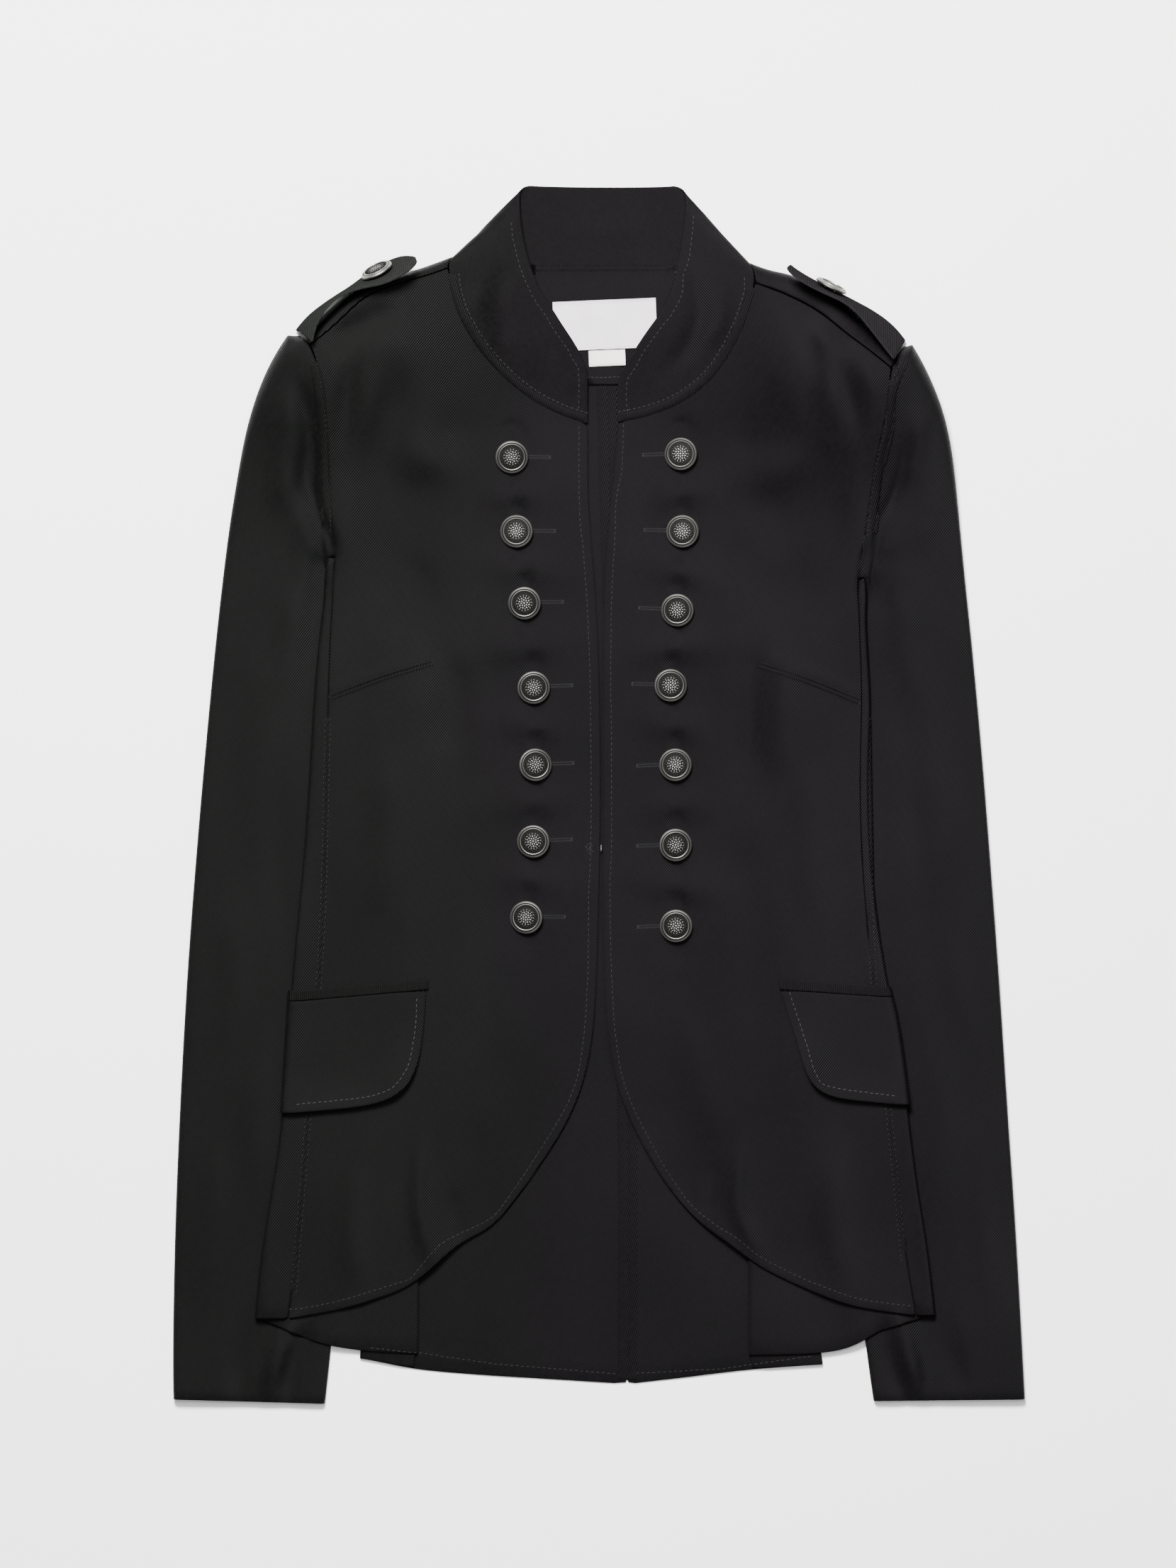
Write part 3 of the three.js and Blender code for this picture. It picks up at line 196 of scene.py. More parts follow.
class Recipe:
    """One procedural material in the making."""

    def __init__(self, name: str) -> None:
        """Starts an empty node tree.

        Args:
            name: The material's name.
        """
        self.material = bpy.data.materials.new(name)
        self.material.use_nodes = True
        self.tree = self.material.node_tree
        self.tree.nodes.clear()

    def node(
        self, kind: str, settings: dict[str, object], inputs: dict[str | int, object]
    ) -> bpy.types.Node:
        """Adds any node.

        Args:
            kind: The node's type.
            settings: Its own properties.
            inputs: Values or wires by socket name or number.

        Returns:
            The new node.
        """
        node = self.tree.nodes.new(kind)
        for key, value in settings.items():
            setattr(node, key, value)
        for key, value in inputs.items():
            socket = node.inputs[key]
            if isinstance(value, Wire):
                self.tree.links.new(value.socket, socket)
            else:
                socket.default_value = value
        return node

    def add(
        self,
        kind: str,
        settings: dict[str, object],
        inputs: dict[str | int, object],
        output: int | str = 0,
    ) -> Wire:
        """Adds any node and returns one of its outputs.

        Args:
            kind: The node's type.
            settings: Its own properties.
            inputs: Values or wires by socket.
            output: The output's name or number.

        Returns:
            The output as a wire.
        """
        return Wire(self, self.node(kind, settings, inputs).outputs[output])

    def place(self) -> Wire:
        """Object coordinates in metres."""
        return self.add("ShaderNodeTexCoord", {}, {}, "Object")

    def parts(self, vector: Wire) -> tuple[Wire, Wire]:
        """The first two parts of a vector."""
        node = self.node("ShaderNodeSeparateXYZ", {}, {"Vector": vector})
        return Wire(self, node.outputs[0]), Wire(self, node.outputs[1])

    def grain(self) -> tuple[Wire, Wire]:
        """The cloth's own coordinates, across and up its threads."""
        return self.parts(self.add("ShaderNodeUVMap", {"uv_map": "grain"}, {}, "UV"))

    def noise(self, scale: float, detail: float = 3.0) -> Wire:
        """A noise from 0 to 1 on Object coordinates."""
        inputs = {"Vector": self.place(), "Scale": scale, "Detail": detail}
        return self.add("ShaderNodeTexNoise", {}, inputs, "Fac")

    def blend(self, share: Wire, low: Colour | Wire, high: Colour | Wire) -> Wire:
        """Mixes two colours.

        Args:
            share: How much of the second colour.
            low: The first colour, plain or a wire.
            high: The second colour, plain or a wire.

        Returns:
            The mixed colour.
        """
        ends = [end if isinstance(end, Wire) else (*end, 1.0) for end in (low, high)]
        inputs = {0: share, 6: ends[0], 7: ends[1]}
        return self.add("ShaderNodeMix", {"data_type": "RGBA", "clamp_factor": True}, inputs, 2)

    def bump(self, height: Wire, strength: float, distance: float) -> Wire:
        """A normal that follows a height."""
        inputs = {"Height": height, "Strength": strength, "Distance": distance}
        return self.add("ShaderNodeBump", {}, inputs, "Normal")

    def finish(self, inputs: dict[str, object]) -> bpy.types.Material:
        """Closes the tree with a Principled shader.

        Args:
            inputs: Its sockets' values or wires.

        Returns:
            The material.
        """
        shader = self.node("ShaderNodeBsdfPrincipled", {}, inputs)
        out = self.node("ShaderNodeOutputMaterial", {}, {})
        self.tree.links.new(shader.outputs[0], out.inputs["Surface"])
        return self.material


# Finishes


class Finish(Protocol):
    """A named surface that makes its own material."""

    name: str

    def make(self) -> bpy.types.Material:
        """Builds the material."""
        ...


@dataclass(frozen=True)
class TwillFinish:
    """Black twill: steep diagonal ribs of fine yarn with a soft satin sheen."""

    name: str = "black_twill"
    rib_pitch: float = 1.15
    yarn_pitch: float = 0.62
    rib_rise: float = 52.0
    sheen: float = 0.54
    ior: float = 1.12
    relief: float = 0.0003
    dark: Colour = (0.0007, 0.0008, 0.0007)
    light: Colour = (0.0036, 0.0039, 0.0034)
    # The warm ends are a painted colour cast of the lighting, laid on the wearer's left
    warm_dark: Colour = (0.0009, 0.0007, 0.0009)
    warm_light: Colour = (0.0043, 0.0034, 0.0041)

    def make(self) -> bpy.types.Material:
        """Builds the cloth on the grain map: cooler at the wearer's right, warmer at the left, a painted
        colour cast of the lighting.

        Returns:
            The material.
        """
        recipe = Recipe(self.name)
        u, v = recipe.grain()
        lean = math.radians(self.rib_rise)
        wander = recipe.noise(90.0, 2.0) * 0.35
        across = (v * math.cos(lean) - u * math.sin(lean)) * (GRAIN_UNIT / self.rib_pitch) + wander
        along = (u * math.cos(lean) + v * math.sin(lean)) * (GRAIN_UNIT / self.yarn_pitch)
        rib = across.wave()
        yarn = (along + rib * 0.5).wave()
        fibre = recipe.noise(2600.0, 2.0)
        slub = recipe.noise(420.0, 3.0).between(0.3, 0.72)
        cloud = recipe.noise(9.0, 2.0)
        # Painted colour cast of the lighting: from cool at the wearer's right to warm at the left
        aside, _ = recipe.parts(recipe.place())
        tint = (aside + recipe.noise(7.0, 2.0) * 0.16).between(-0.07, 0.05)
        relief = rib * 0.72 + yarn * 0.2 * rib + fibre * 0.18 + slub * 0.14
        tone = rib * 0.45 + fibre * 0.2 + slub * 0.26 + cloud * 0.5 - 0.3
        dark = recipe.blend(tint, self.dark, self.warm_dark)
        light = recipe.blend(tint, self.light, self.warm_light)
        rough = 0.57 - rib * 0.08 + fibre * 0.1 - cloud * 0.12 + slub * 0.1
        return recipe.finish(
            {
                "Base Color": recipe.blend(tone, dark, light),
                "Roughness": rough,
                "IOR": self.ior,
                "Specular IOR Level": self.sheen,
                "Normal": recipe.bump(relief, 0.85, self.relief),
            }
        )


@dataclass(frozen=True)
class ThreadFinish:
    """Sewing thread with a twist that reads as fine stripes."""

    name: str
    dark: Colour
    light: Colour
    roughness: float = 0.5
    twists_per_metre: float = 2600.0

    def make(self) -> bpy.types.Material:
        """Builds the thread.

        Returns:
            The material.
        """
        recipe = Recipe(self.name)
        x, y = recipe.parts(recipe.place())
        twist = ((x + y) * self.twists_per_metre).wave()
        fuzz = recipe.noise(1800.0)
        colour = recipe.blend(twist * 0.6 + fuzz * 0.4, self.dark, self.light)
        return recipe.finish(
            {
                "Base Color": colour,
                "Specular IOR Level": 0.2,
                "Roughness": fuzz * 0.2 + self.roughness - 0.1,
                "Normal": recipe.bump(twist + fuzz * 0.5, 0.4, 0.0001),
            }
        )


@dataclass(frozen=True)
class SilverFinish:
    """Antique silver: dark patina in the recesses and rubbed bright metal on what stands proud."""

    name: str = "old_silver"
    patina: Colour = (0.0045, 0.0045, 0.004)
    rubbed: Colour = (0.27, 0.263, 0.247)

    def make(self) -> bpy.types.Material:
        """Builds the metal on the buttons' relief attribute.

        Returns:
            The material.
        """
        recipe = Recipe(self.name)
        relief = recipe.add("ShaderNodeAttribute", {"attribute_name": "relief"}, {}, "Fac")
        stain = recipe.noise(900.0, 4.0)
        scratch = recipe.noise(3200.0, 3.0)
        bright = relief.between(0.18, 0.85) * (stain * 0.5 + 0.7)
        colour = recipe.blend(bright, self.patina, self.rubbed)
        return recipe.finish(
            {
                "Base Color": colour,
                "Metallic": bright * 0.04 + 0.96,
                "Roughness": 0.48 - bright * 0.14 + scratch * 0.12,
                "Normal": recipe.bump(stain + scratch * 0.5, 0.25, 0.00012),
            }
        )


@dataclass(frozen=True)
class SatinFinish:
    """Woven label satin: close weft and warp lines and faint creases."""

    name: str
    low: Colour
    high: Colour
    line_pitch: float = 0.5
    gloss: float = 0.48
    warp_spread: float = 1.7

    def make(self) -> bpy.types.Material:
        """Builds the satin on the grain map.

        Returns:
            The material.
        """
        recipe = Recipe(self.name)
        u, v = recipe.grain()
        weft = (v * (GRAIN_UNIT / self.line_pitch)).wave()
        warp = (u * (GRAIN_UNIT / self.line_pitch / self.warp_spread) + weft * 0.5).wave()
        crease = recipe.noise(70.0, 5.0)
        fibre = recipe.noise(1500.0, 3.0)
        # The crease noise also steers the colour, lighter on its rises and darker in its hollows:
        # painted crease shading on top of the bump
        tone = crease * 0.75 + weft * 0.12 + warp * 0.08 + fibre * 0.15 - 0.05
        return recipe.finish(
            {
                "Base Color": recipe.blend(tone, self.low, self.high),
                "Roughness": self.gloss + fibre * 0.12 - weft * 0.06,
                "Normal": recipe.bump(weft * 0.4 + warp * 0.3 + crease * 1.2, 0.5, 0.0002),
            }
        )


@dataclass(frozen=True)
class WireFinish:
    """Blackened steel wire with rubbed spots."""

    name: str = "hook_wire"
    black: Colour = (0.02, 0.02, 0.022)
    rubbed: Colour = (0.3, 0.3, 0.31)

    def make(self) -> bpy.types.Material:
        """Builds the wire.

        Returns:
            The material.
        """
        recipe = Recipe(self.name)
        rub = recipe.noise(700.0, 4.0).between(0.42, 0.7)
        return recipe.finish(
            {
                "Base Color": recipe.blend(rub, self.black, self.rubbed),
                "Metallic": rub * 0.3 + 0.6,
                "Roughness": 0.46 - rub * 0.16,
                "Normal": recipe.bump(rub, 0.2, 0.0001),
            }
        )


@dataclass(frozen=True)
class FloorFinish:
    """Pale matt paper."""

    name: str = "pale_floor"
    low: Colour = (0.80, 0.805, 0.80)
    high: Colour = (0.86, 0.865, 0.86)

    def make(self) -> bpy.types.Material:
        """Builds the floor.

        Returns:
            The material.
        """
        recipe = Recipe(self.name)
        grain = recipe.noise(340.0, 4.0)
        tint = recipe.noise(1.6, 2.0)
        return recipe.finish(
            {
                "Base Color": recipe.blend(grain * 0.3 + tint * 0.7, self.low, self.high),
                "Roughness": grain * 0.08 + 0.84,
                "Specular IOR Level": 0.2,
                "Normal": recipe.bump(grain, 0.05, 0.0002),
            }
        )


# A shaded copy of the twill for the straps, painted shade: the same cloth with its reflection switched
# off, so the straps stay dark where the key lamp would make them shine, and with paler colours that keep
# them dark olive-grey
SHADED_STRAP_TWILL = TwillFinish(
    "strap_twill",
    sheen=0.0,
    dark=(0.0060, 0.0066, 0.0058),
    light=(0.0150, 0.0160, 0.0144),
    warm_dark=(0.0064, 0.0058, 0.0064),
    warm_light=(0.0160, 0.0146, 0.0158),
)
BLACK_THREAD = ThreadFinish("black_thread", (0.0032, 0.0032, 0.0035), (0.015, 0.015, 0.016), 0.6)
# The pocket's stitches: the same black thread made paler, a painted highlight where they catch the light
LIT_FLAP_THREAD = ThreadFinish("flap_thread", (0.007, 0.007, 0.0075), (0.034, 0.034, 0.036), 0.5)
LABEL_THREAD = ThreadFinish("label_thread", (0.30, 0.25, 0.29), (0.56, 0.50, 0.55))
TAB_THREAD = ThreadFinish("tab_thread", (0.35, 0.31, 0.30), (0.62, 0.58, 0.56))
LABEL_SATIN = SatinFinish("label_satin", (0.40, 0.365, 0.395), (0.60, 0.555, 0.59))
TAB_TAPE = SatinFinish("tab_tape", (0.50, 0.455, 0.44), (0.70, 0.65, 0.63), 0.7, 0.62)


class Wardrobe:
    """Makes each finish once and hands out its material."""

    def __init__(self) -> None:
        """Starts with no material made."""
        self.made: dict[str, bpy.types.Material] = {}

    def of(self, finish: Finish) -> bpy.types.Material:
        """Makes a finish's material at its first use.

        Args:
            finish: The finish, known by its name.

        Returns:
            Its material.
        """
        if finish.name not in self.made:
            self.made[finish.name] = finish.make()
        return self.made[finish.name]


WARDROBE = Wardrobe()


# Shared mesh work


def take_up(piece: bpy.types.Object, nodes: tuple[str, ...] = ()) -> bpy.types.Object:
    """Args:
        piece: The piece, in its final shape.
        nodes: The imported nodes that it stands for.

    Returns:
        The same piece.
    """
    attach(piece, BODY)
    if nodes:
        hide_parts(*nodes)
    log.info("%s: %d faces", piece.name, len(piece.data.polygons))
    return piece


def only(piece: bpy.types.Object) -> None:
    """Makes one object the sole selected and active one.

    Args:
        piece: The object.
    """
    bpy.ops.object.select_all(action="DESELECT")
    piece.select_set(True)
    bpy.context.view_layer.objects.active = piece


def mesh_object(
    name: str, verts: np.ndarray, faces: list[tuple[int, ...]], finish: Finish
) -> bpy.types.Object:
    """Makes an object from points in metres and faces.

    Args:
        name: The object's name.
        verts: Points, one row each.
        faces: Corner numbers of each face.
        finish: The finish whose material it takes.

    Returns:
        The linked object.
    """
    mesh = bpy.data.meshes.new(name)
    mesh.from_pydata([tuple(v) for v in verts], [], faces)
    mesh.update()
    piece = bpy.data.objects.new(name, mesh)
    bpy.context.scene.collection.objects.link(piece)
    mesh.materials.append(WARDROBE.of(finish))
    return piece


def copy_node(node: str, name: str, finish: Finish) -> bpy.types.Object:
    """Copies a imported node's mesh with its doubled points welded.

    Args:
        node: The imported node, which stays as it is.
        name: The copy's name.
        finish: The finish whose material it takes.

    Returns:
        The linked copy.
    """
    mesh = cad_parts[node].data.copy()
    mesh.name = name
    piece = bpy.data.objects.new(name, mesh)
    bpy.context.scene.collection.objects.link(piece)
    work = bmesh.new()
    work.from_mesh(mesh)
    bmesh.ops.remove_doubles(work, verts=work.verts, dist=WELD)
    work.to_mesh(mesh)
    work.free()
    mesh.materials.clear()
    mesh.materials.append(WARDROBE.of(finish))
    return piece


def grid_faces(rows: int, columns: int) -> list[tuple[int, ...]]:
    """Joins a grid of points with quads.

    Args:
        rows: Rows of points.
        columns: Points in each row.

    Returns:
        Corner numbers of each quad.
    """
    return [
        (i * columns + j, i * columns + j + 1, (i + 1) * columns + j + 1, (i + 1) * columns + j)
        for i in range(rows - 1)
        for j in range(columns - 1)
    ]


def points_of(piece: bpy.types.Object) -> np.ndarray:
    """Reads a mesh's points.

    Args:
        piece: The object.

    Returns:
        The points in metres, one row each.
    """
    flat = np.zeros(len(piece.data.vertices) * 3)
    piece.data.vertices.foreach_get("co", flat)
    return flat.reshape(-1, 3)


def move_points(piece: bpy.types.Object, points: np.ndarray) -> None:
    """Writes changed points back to a mesh."""
    piece.data.vertices.foreach_set("co", points.ravel())
    piece.data.update()


def apply_modifier(piece: bpy.types.Object, kind: str, **settings: object) -> None:
    """Adds a modifier and applies it.

    Args:
        piece: The object.
        kind: The modifier's type.
        **settings: The modifier's own properties.
    """
    modifier = piece.modifiers.new(kind.lower(), kind)
    for key, value in settings.items():
        setattr(modifier, key, value)
    only(piece)
    bpy.ops.object.modifier_apply(modifier=modifier.name)


def subdivide(piece: bpy.types.Object, levels: int, kind: str = "CATMULL_CLARK") -> None:
    """Splits every face of a piece a number of times, rounded or plain."""
    settings = {"levels": levels, "render_levels": levels, "subdivision_type": kind}
    apply_modifier(piece, "SUBSURF", **settings)


def smooth(piece: bpy.types.Object, degrees: float = 50.0) -> None:
    """Shades a piece smooth up to an angle."""
    only(piece)
    bpy.ops.object.shade_smooth_by_angle(angle=math.radians(degrees))


def write_grain(piece: bpy.types.Object, turn: float) -> None:
    """Writes the grain map, the plan turned to the cloth's threads.

    Args:
        piece: The cloth piece.
        turn: Turn of the grain in degrees.
    """
    across, up, _ = points_of(piece).T / MM
    turn_by = math.radians(turn)
    u = (across * math.cos(turn_by) + up * math.sin(turn_by)) / GRAIN_UNIT
    v = (up * math.cos(turn_by) - across * math.sin(turn_by)) / GRAIN_UNIT
    layer = piece.data.uv_layers.new(name="grain")
    corners = np.zeros(len(piece.data.loops), dtype=np.int64)
    piece.data.loops.foreach_get("vertex_index", corners)
    layer.data.foreach_set("uv", np.stack([u[corners], v[corners]], axis=1).ravel())


class Surface:
    """The upper surface of finished pieces, for laying things on them."""

    def __init__(self, *pieces: bpy.types.Object) -> None:
        """Builds one search tree over the pieces' meshes.

        Args:
            *pieces: Finished pieces in place.
        """
        verts: list[Vector] = []
        faces: list[tuple[int, ...]] = []
        for piece in pieces:
            start = len(verts)
            verts += [v.co.copy() for v in piece.data.vertices]
            faces += [tuple(start + i for i in p.vertices) for p in piece.data.polygons]
        self.tree = BVHTree.FromPolygons(verts, faces)

    def under(self, across: float, up: float) -> tuple[Vector, Vector] | None:
        """Finds the top of the pieces at a plan point.

        Args:
            across: The plan point's place across.
            up: Its place up.

        Returns:
            The highest point and its normal, or None beside the pieces.
        """
        start = spot(across, up, 200.0)
        hit, normal, _, _ = self.tree.ray_cast(start, Vector((0, 0, -1)))
        if hit is None:
            return None
        return hit, normal if normal.z > 0 else -normal


# Samples between two knots of a curved line; half the stretch that a tangent is measured over;
# the distance between the points of a line moved sideways
KNOT_SAMPLES = 12
TANGENT_REACH = 1.2
BESIDE_STEP = 4.0


@dataclass
class Route:
    """A line in the plan through tabled points, read by its distance along."""

    points: Line
    curved: bool = True

    def __post_init__(self) -> None:
        """Samples the line finely and measures it."""
        knots = [np.array(p, float) for p in self.points]
        if self.curved and len(knots) > 2:
            padded = [2 * knots[0] - knots[1], *knots, 2 * knots[-1] - knots[-2]]
            fine = []
            for a, b, c, d in zip(padded, padded[1:], padded[2:], padded[3:]):
                for t in np.linspace(0, 1, KNOT_SAMPLES, endpoint=False):
                    fine.append(
                        0.5
                        * (
                            2 * b
                            + (c - a) * t
                            + (2 * a - 5 * b + 4 * c - d) * t * t
                            + (3 * b - 3 * c + d - a) * t**3
                        )
                    )
            fine.append(knots[-1])
            self.line = np.array(fine)
        else:
            self.line = np.array(knots)
        steps = np.linalg.norm(np.diff(self.line, axis=0), axis=1)
        self.marks = np.concatenate([[0.0], np.cumsum(steps)])

    @property
    def length(self) -> float:
        """The line's length."""
        return float(self.marks[-1])

    def at(self, distance: float) -> tuple[np.ndarray, np.ndarray]:
        """Reads a point on the line and the way it runs there.

        Args:
            distance: Distance along from the start.

        Returns:
            The point and a unit tangent.
        """
        here = np.array([np.interp(distance, self.marks, self.line[:, k]) for k in (0, 1)])
        low = max(distance - TANGENT_REACH, 0.0)
        high = min(distance + TANGENT_REACH, self.length)
        ends = [
            np.array([np.interp(d, self.marks, self.line[:, k]) for k in (0, 1)])
            for d in (low, high)
        ]
        tangent = ends[1] - ends[0]
        return here, tangent / max(float(np.linalg.norm(tangent)), 1e-6)

    def beside(self, distance: float) -> "Route":
        """Moves the line sideways.

        Args:
            distance: How far, to the left of its run where it is positive.

        Returns:
            The moved line.
        """
        stations = np.arange(0.0, self.length + BESIDE_STEP / 2, BESIDE_STEP).clip(max=self.length)
        moved = []
        for station in dict.fromkeys(stations.tolist()):
            here, tangent = self.at(station)
            moved.append((here[0] - tangent[1] * distance, here[1] + tangent[0] * distance))
        return Route(tuple(moved), curved=False)

    def distances(self, points: np.ndarray) -> tuple[np.ndarray, np.ndarray]:
        """Measures how far plan points lie from the line and how far along they meet it.

        Args:
            points: Plan points, one row each.

        Returns:
            Distances and shares of the length.
        """
        best = np.full(len(points), 1e9)
        share = np.zeros(len(points))
        for a, b, mark, step in zip(self.line, self.line[1:], self.marks, np.diff(self.marks)):
            edge = b - a
            t = np.clip(((points - a) @ edge) / max(float(edge @ edge), 1e-9), 0, 1)
            gap = np.linalg.norm(points - (a + t[:, None] * edge), axis=1)
            closer = gap < best
            best = np.where(closer, gap, best)
            share = np.where(closer, (mark + t * step) / self.length, share)
        return best, share


# How many of its widths away from its line a fold is still felt
FOLD_REACH = 1.8


@dataclass
class Fold:
    """A fold in the cloth: a ridge where its height is positive and a valley where it is not."""

    points: Line
    width: float
    height: float
    fade: float = 0.3

    def lift(self, plan: np.ndarray) -> np.ndarray:
        """Works out how much the fold raises plan points.

        Args:
            plan: Plan points, one row each.

        Returns:
            The rise of each in millimetres.
        """
        route = Route(self.points)
        low = route.line.min(axis=0) - FOLD_REACH * self.width
        high = route.line.max(axis=0) + FOLD_REACH * self.width
        touched = ((plan > low) & (plan < high)).all(axis=1)
        rise = np.zeros(len(plan))
        if touched.any():
            near, share = route.distances(plan[touched])
            ends = np.clip(np.minimum(share, 1 - share) / self.fade, 0, 1)
            ends = 0.15 + 0.85 * ends * ends * (3 - 2 * ends)
            rise[touched] = self.height * ends * np.exp(-2 * (near / self.width) ** 2)
        return rise


# The cloth's slow waves: length and height of each, and the seed of their directions
WAVES = ((150, 0.34), (110, 0.3), (78, 0.22), (55, 0.15), (38, 0.1), (27, 0.06))
WAVE_SEED = 41


def gentle_waves(plan: np.ndarray) -> np.ndarray:
    """Works out the slow unevenness that all layers of the cloth share.

    Args:
        plan: Plan points, one row each.

    Returns:
        The rise of each in millimetres, never below zero.
    """
    draw = random.Random(WAVE_SEED)
    total = np.zeros(len(plan))
    for wavelength, size in WAVES:
        for _ in range(2):
            lean = draw.uniform(0, math.pi)
            phase = draw.uniform(0, math.tau)
            run = plan[:, 0] * math.cos(lean) + plan[:, 1] * math.sin(lean)
            total += size * np.sin(math.tau * run / wavelength + phase)
    return np.clip(total * 0.5 + 0.45, 0, 1.6)


# Folds as the cloth lies

BUTTON_NODES = {
    side: tuple(f"button_{side.word}_{number}" for number in range(1, 8)) for side in Side
}


def middle_of(node: str) -> np.ndarray:
    """Finds the plan middle of a node.

    Args:
        node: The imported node.

    Returns:
        The middle in the tables' millimetres.
    """
    low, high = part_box(node)
    middle = (low + high) / 2 / MM
    return np.array([middle.x - SHIFT[0], middle.y - SHIFT[1]])


def button_row_folds(side: Side) -> list[Fold]:
    """Places dips above and below a side's buttons and low ridges between them.

    Args:
        side: The jacket's side.

    Returns:
        The folds.
    """
    middles = [middle_of(node) for node in BUTTON_NODES[side]]
    folds = []
    for number, (x, y) in enumerate(middles):
        depth = 3.2 if number == 0 else 2.3
        folds.append(Fold(((x - 5, y + 11), (x, y + 13), (x + 6, y + 11)), 8, -depth, 0.5))
        folds.append(Fold(((x - 5, y - 12), (x, y - 14), (x + 6, y - 12)), 7, -1.7, 0.5))
        if number + 1 < len(middles):
            below = middles[number + 1]
            mid = ((x + below[0]) / 2, (y + below[1]) / 2)
            reach = 27 + 5 * (number % 3)
            tilt = 5 if number % 2 else -4
            ends = ((mid[0] - reach, mid[1] + tilt), mid, (mid[0] + reach, mid[1] - tilt))
            folds.append(Fold(ends, 14, 2.3 - 0.15 * number, 0.5))
    return folds


FRONT_FOLDS: dict[Side, tuple[Fold, ...]] = {
    Side.RIGHT: (
        Fold(((-166, 262), (-142, 276), (-112, 289)), 13, -3.2, 0.35),
        Fold(((-120, 214), (-96, 196), (-70, 190)), 20, 3.0, 0.5),
        Fold(((-130, 150), (-104, 120), (-84, 104)), 16, -1.4, 0.5),
        Fold(((-144, 272), (-148, 244), (-153, 196)), 10, -2.0, 0.5),
        Fold(((-134, 262), (-136, 236), (-142, 196)), 12, 1.5, 0.5),
        Fold(((-114, 268), (-118, 240), (-128, 196)), 15, -1.0, 0.5),
        Fold(((-96, 250), (-104, 214), (-122, 170)), 18, 1.2, 0.5),
        Fold(((-150, 200), (-151, 168), (-148, 128)), 11, 1.1, 0.5),
        Fold(((-78, 236), (-88, 206), (-96, 168)), 17, -0.9, 0.5),
        Fold(((-72, 180), (-92, 150), (-118, 132)), 15, 0.9, 0.5),
        Fold(((-163, 60), (-130, 72), (-99, 82)), 5, 0.5, 0.2),
        Fold(((-90, 84), (-84, 60), (-86, 20)), 13, -1.1),
        Fold(((-128, 30), (-124, -20), (-130, -80)), 16, 1.1),
        Fold(((-104, -196), (-107, -243), (-97, -285)), 7, 1.7),
        Fold(((-88, -232), (-84, -258), (-80, -268)), 8, -0.8),
        Fold(((-142, -214), (-146, -258), (-140, -300)), 12, 1.2),
        Fold(((-42, -120), (-58, -160), (-74, -214)), 16, 1.0),
    ),
    Side.LEFT: (
        Fold(((162, 262), (142, 277), (108, 294)), 13, -3.2, 0.35),
        Fold(((128, 210), (100, 190), (74, 182)), 20, 3.2, 0.5),
        Fold(((132, 146), (108, 118), (88, 104)), 16, -1.4, 0.5),
        Fold(((114, 290), (124.5, 266), (131, 236)), 9, -1.7, 0.5),
        Fold(((139, 260), (146, 241), (156, 206)), 9, -1.9, 0.5),
        Fold(((133, 266), (135, 242), (141, 208)), 11, 1.7, 0.5),
        Fold(((154, 266), (158, 248), (161, 226)), 9, 1.4, 0.5),
        Fold(((102, 266), (112, 240), (120, 200)), 14, 1.1, 0.5),
        Fold(((152, 204), (152, 172), (149, 132)), 11, 1.2, 0.5),
        Fold(((86, 244), (88, 212), (98, 176)), 17, -0.9, 0.5),
        Fold(((72, 184), (90, 152), (120, 130)), 15, 0.9, 0.5),
        Fold(((94, 82), (126, 71), (158, 57)), 5, 0.5, 0.2),
        Fold(((91, 98), (87, 60), (84, 9)), 11, -1.5),
        Fold(((104, 96), (108, 60), (104, 4)), 12, 1.2),
        Fold(((127, 24), (125, -30), (130, -86)), 16, 1.0),
        Fold(((84, -200), (82, -243), (97, -277)), 7, 1.6),
        Fold(((68, -214), (66, -240), (62, -252)), 8, -0.8),
        Fold(((140, -206), (138, -250), (146, -296)), 12, 1.2),
        Fold(((40, -112), (56, -160), (70, -214)), 16, 1.0),
    ),
}

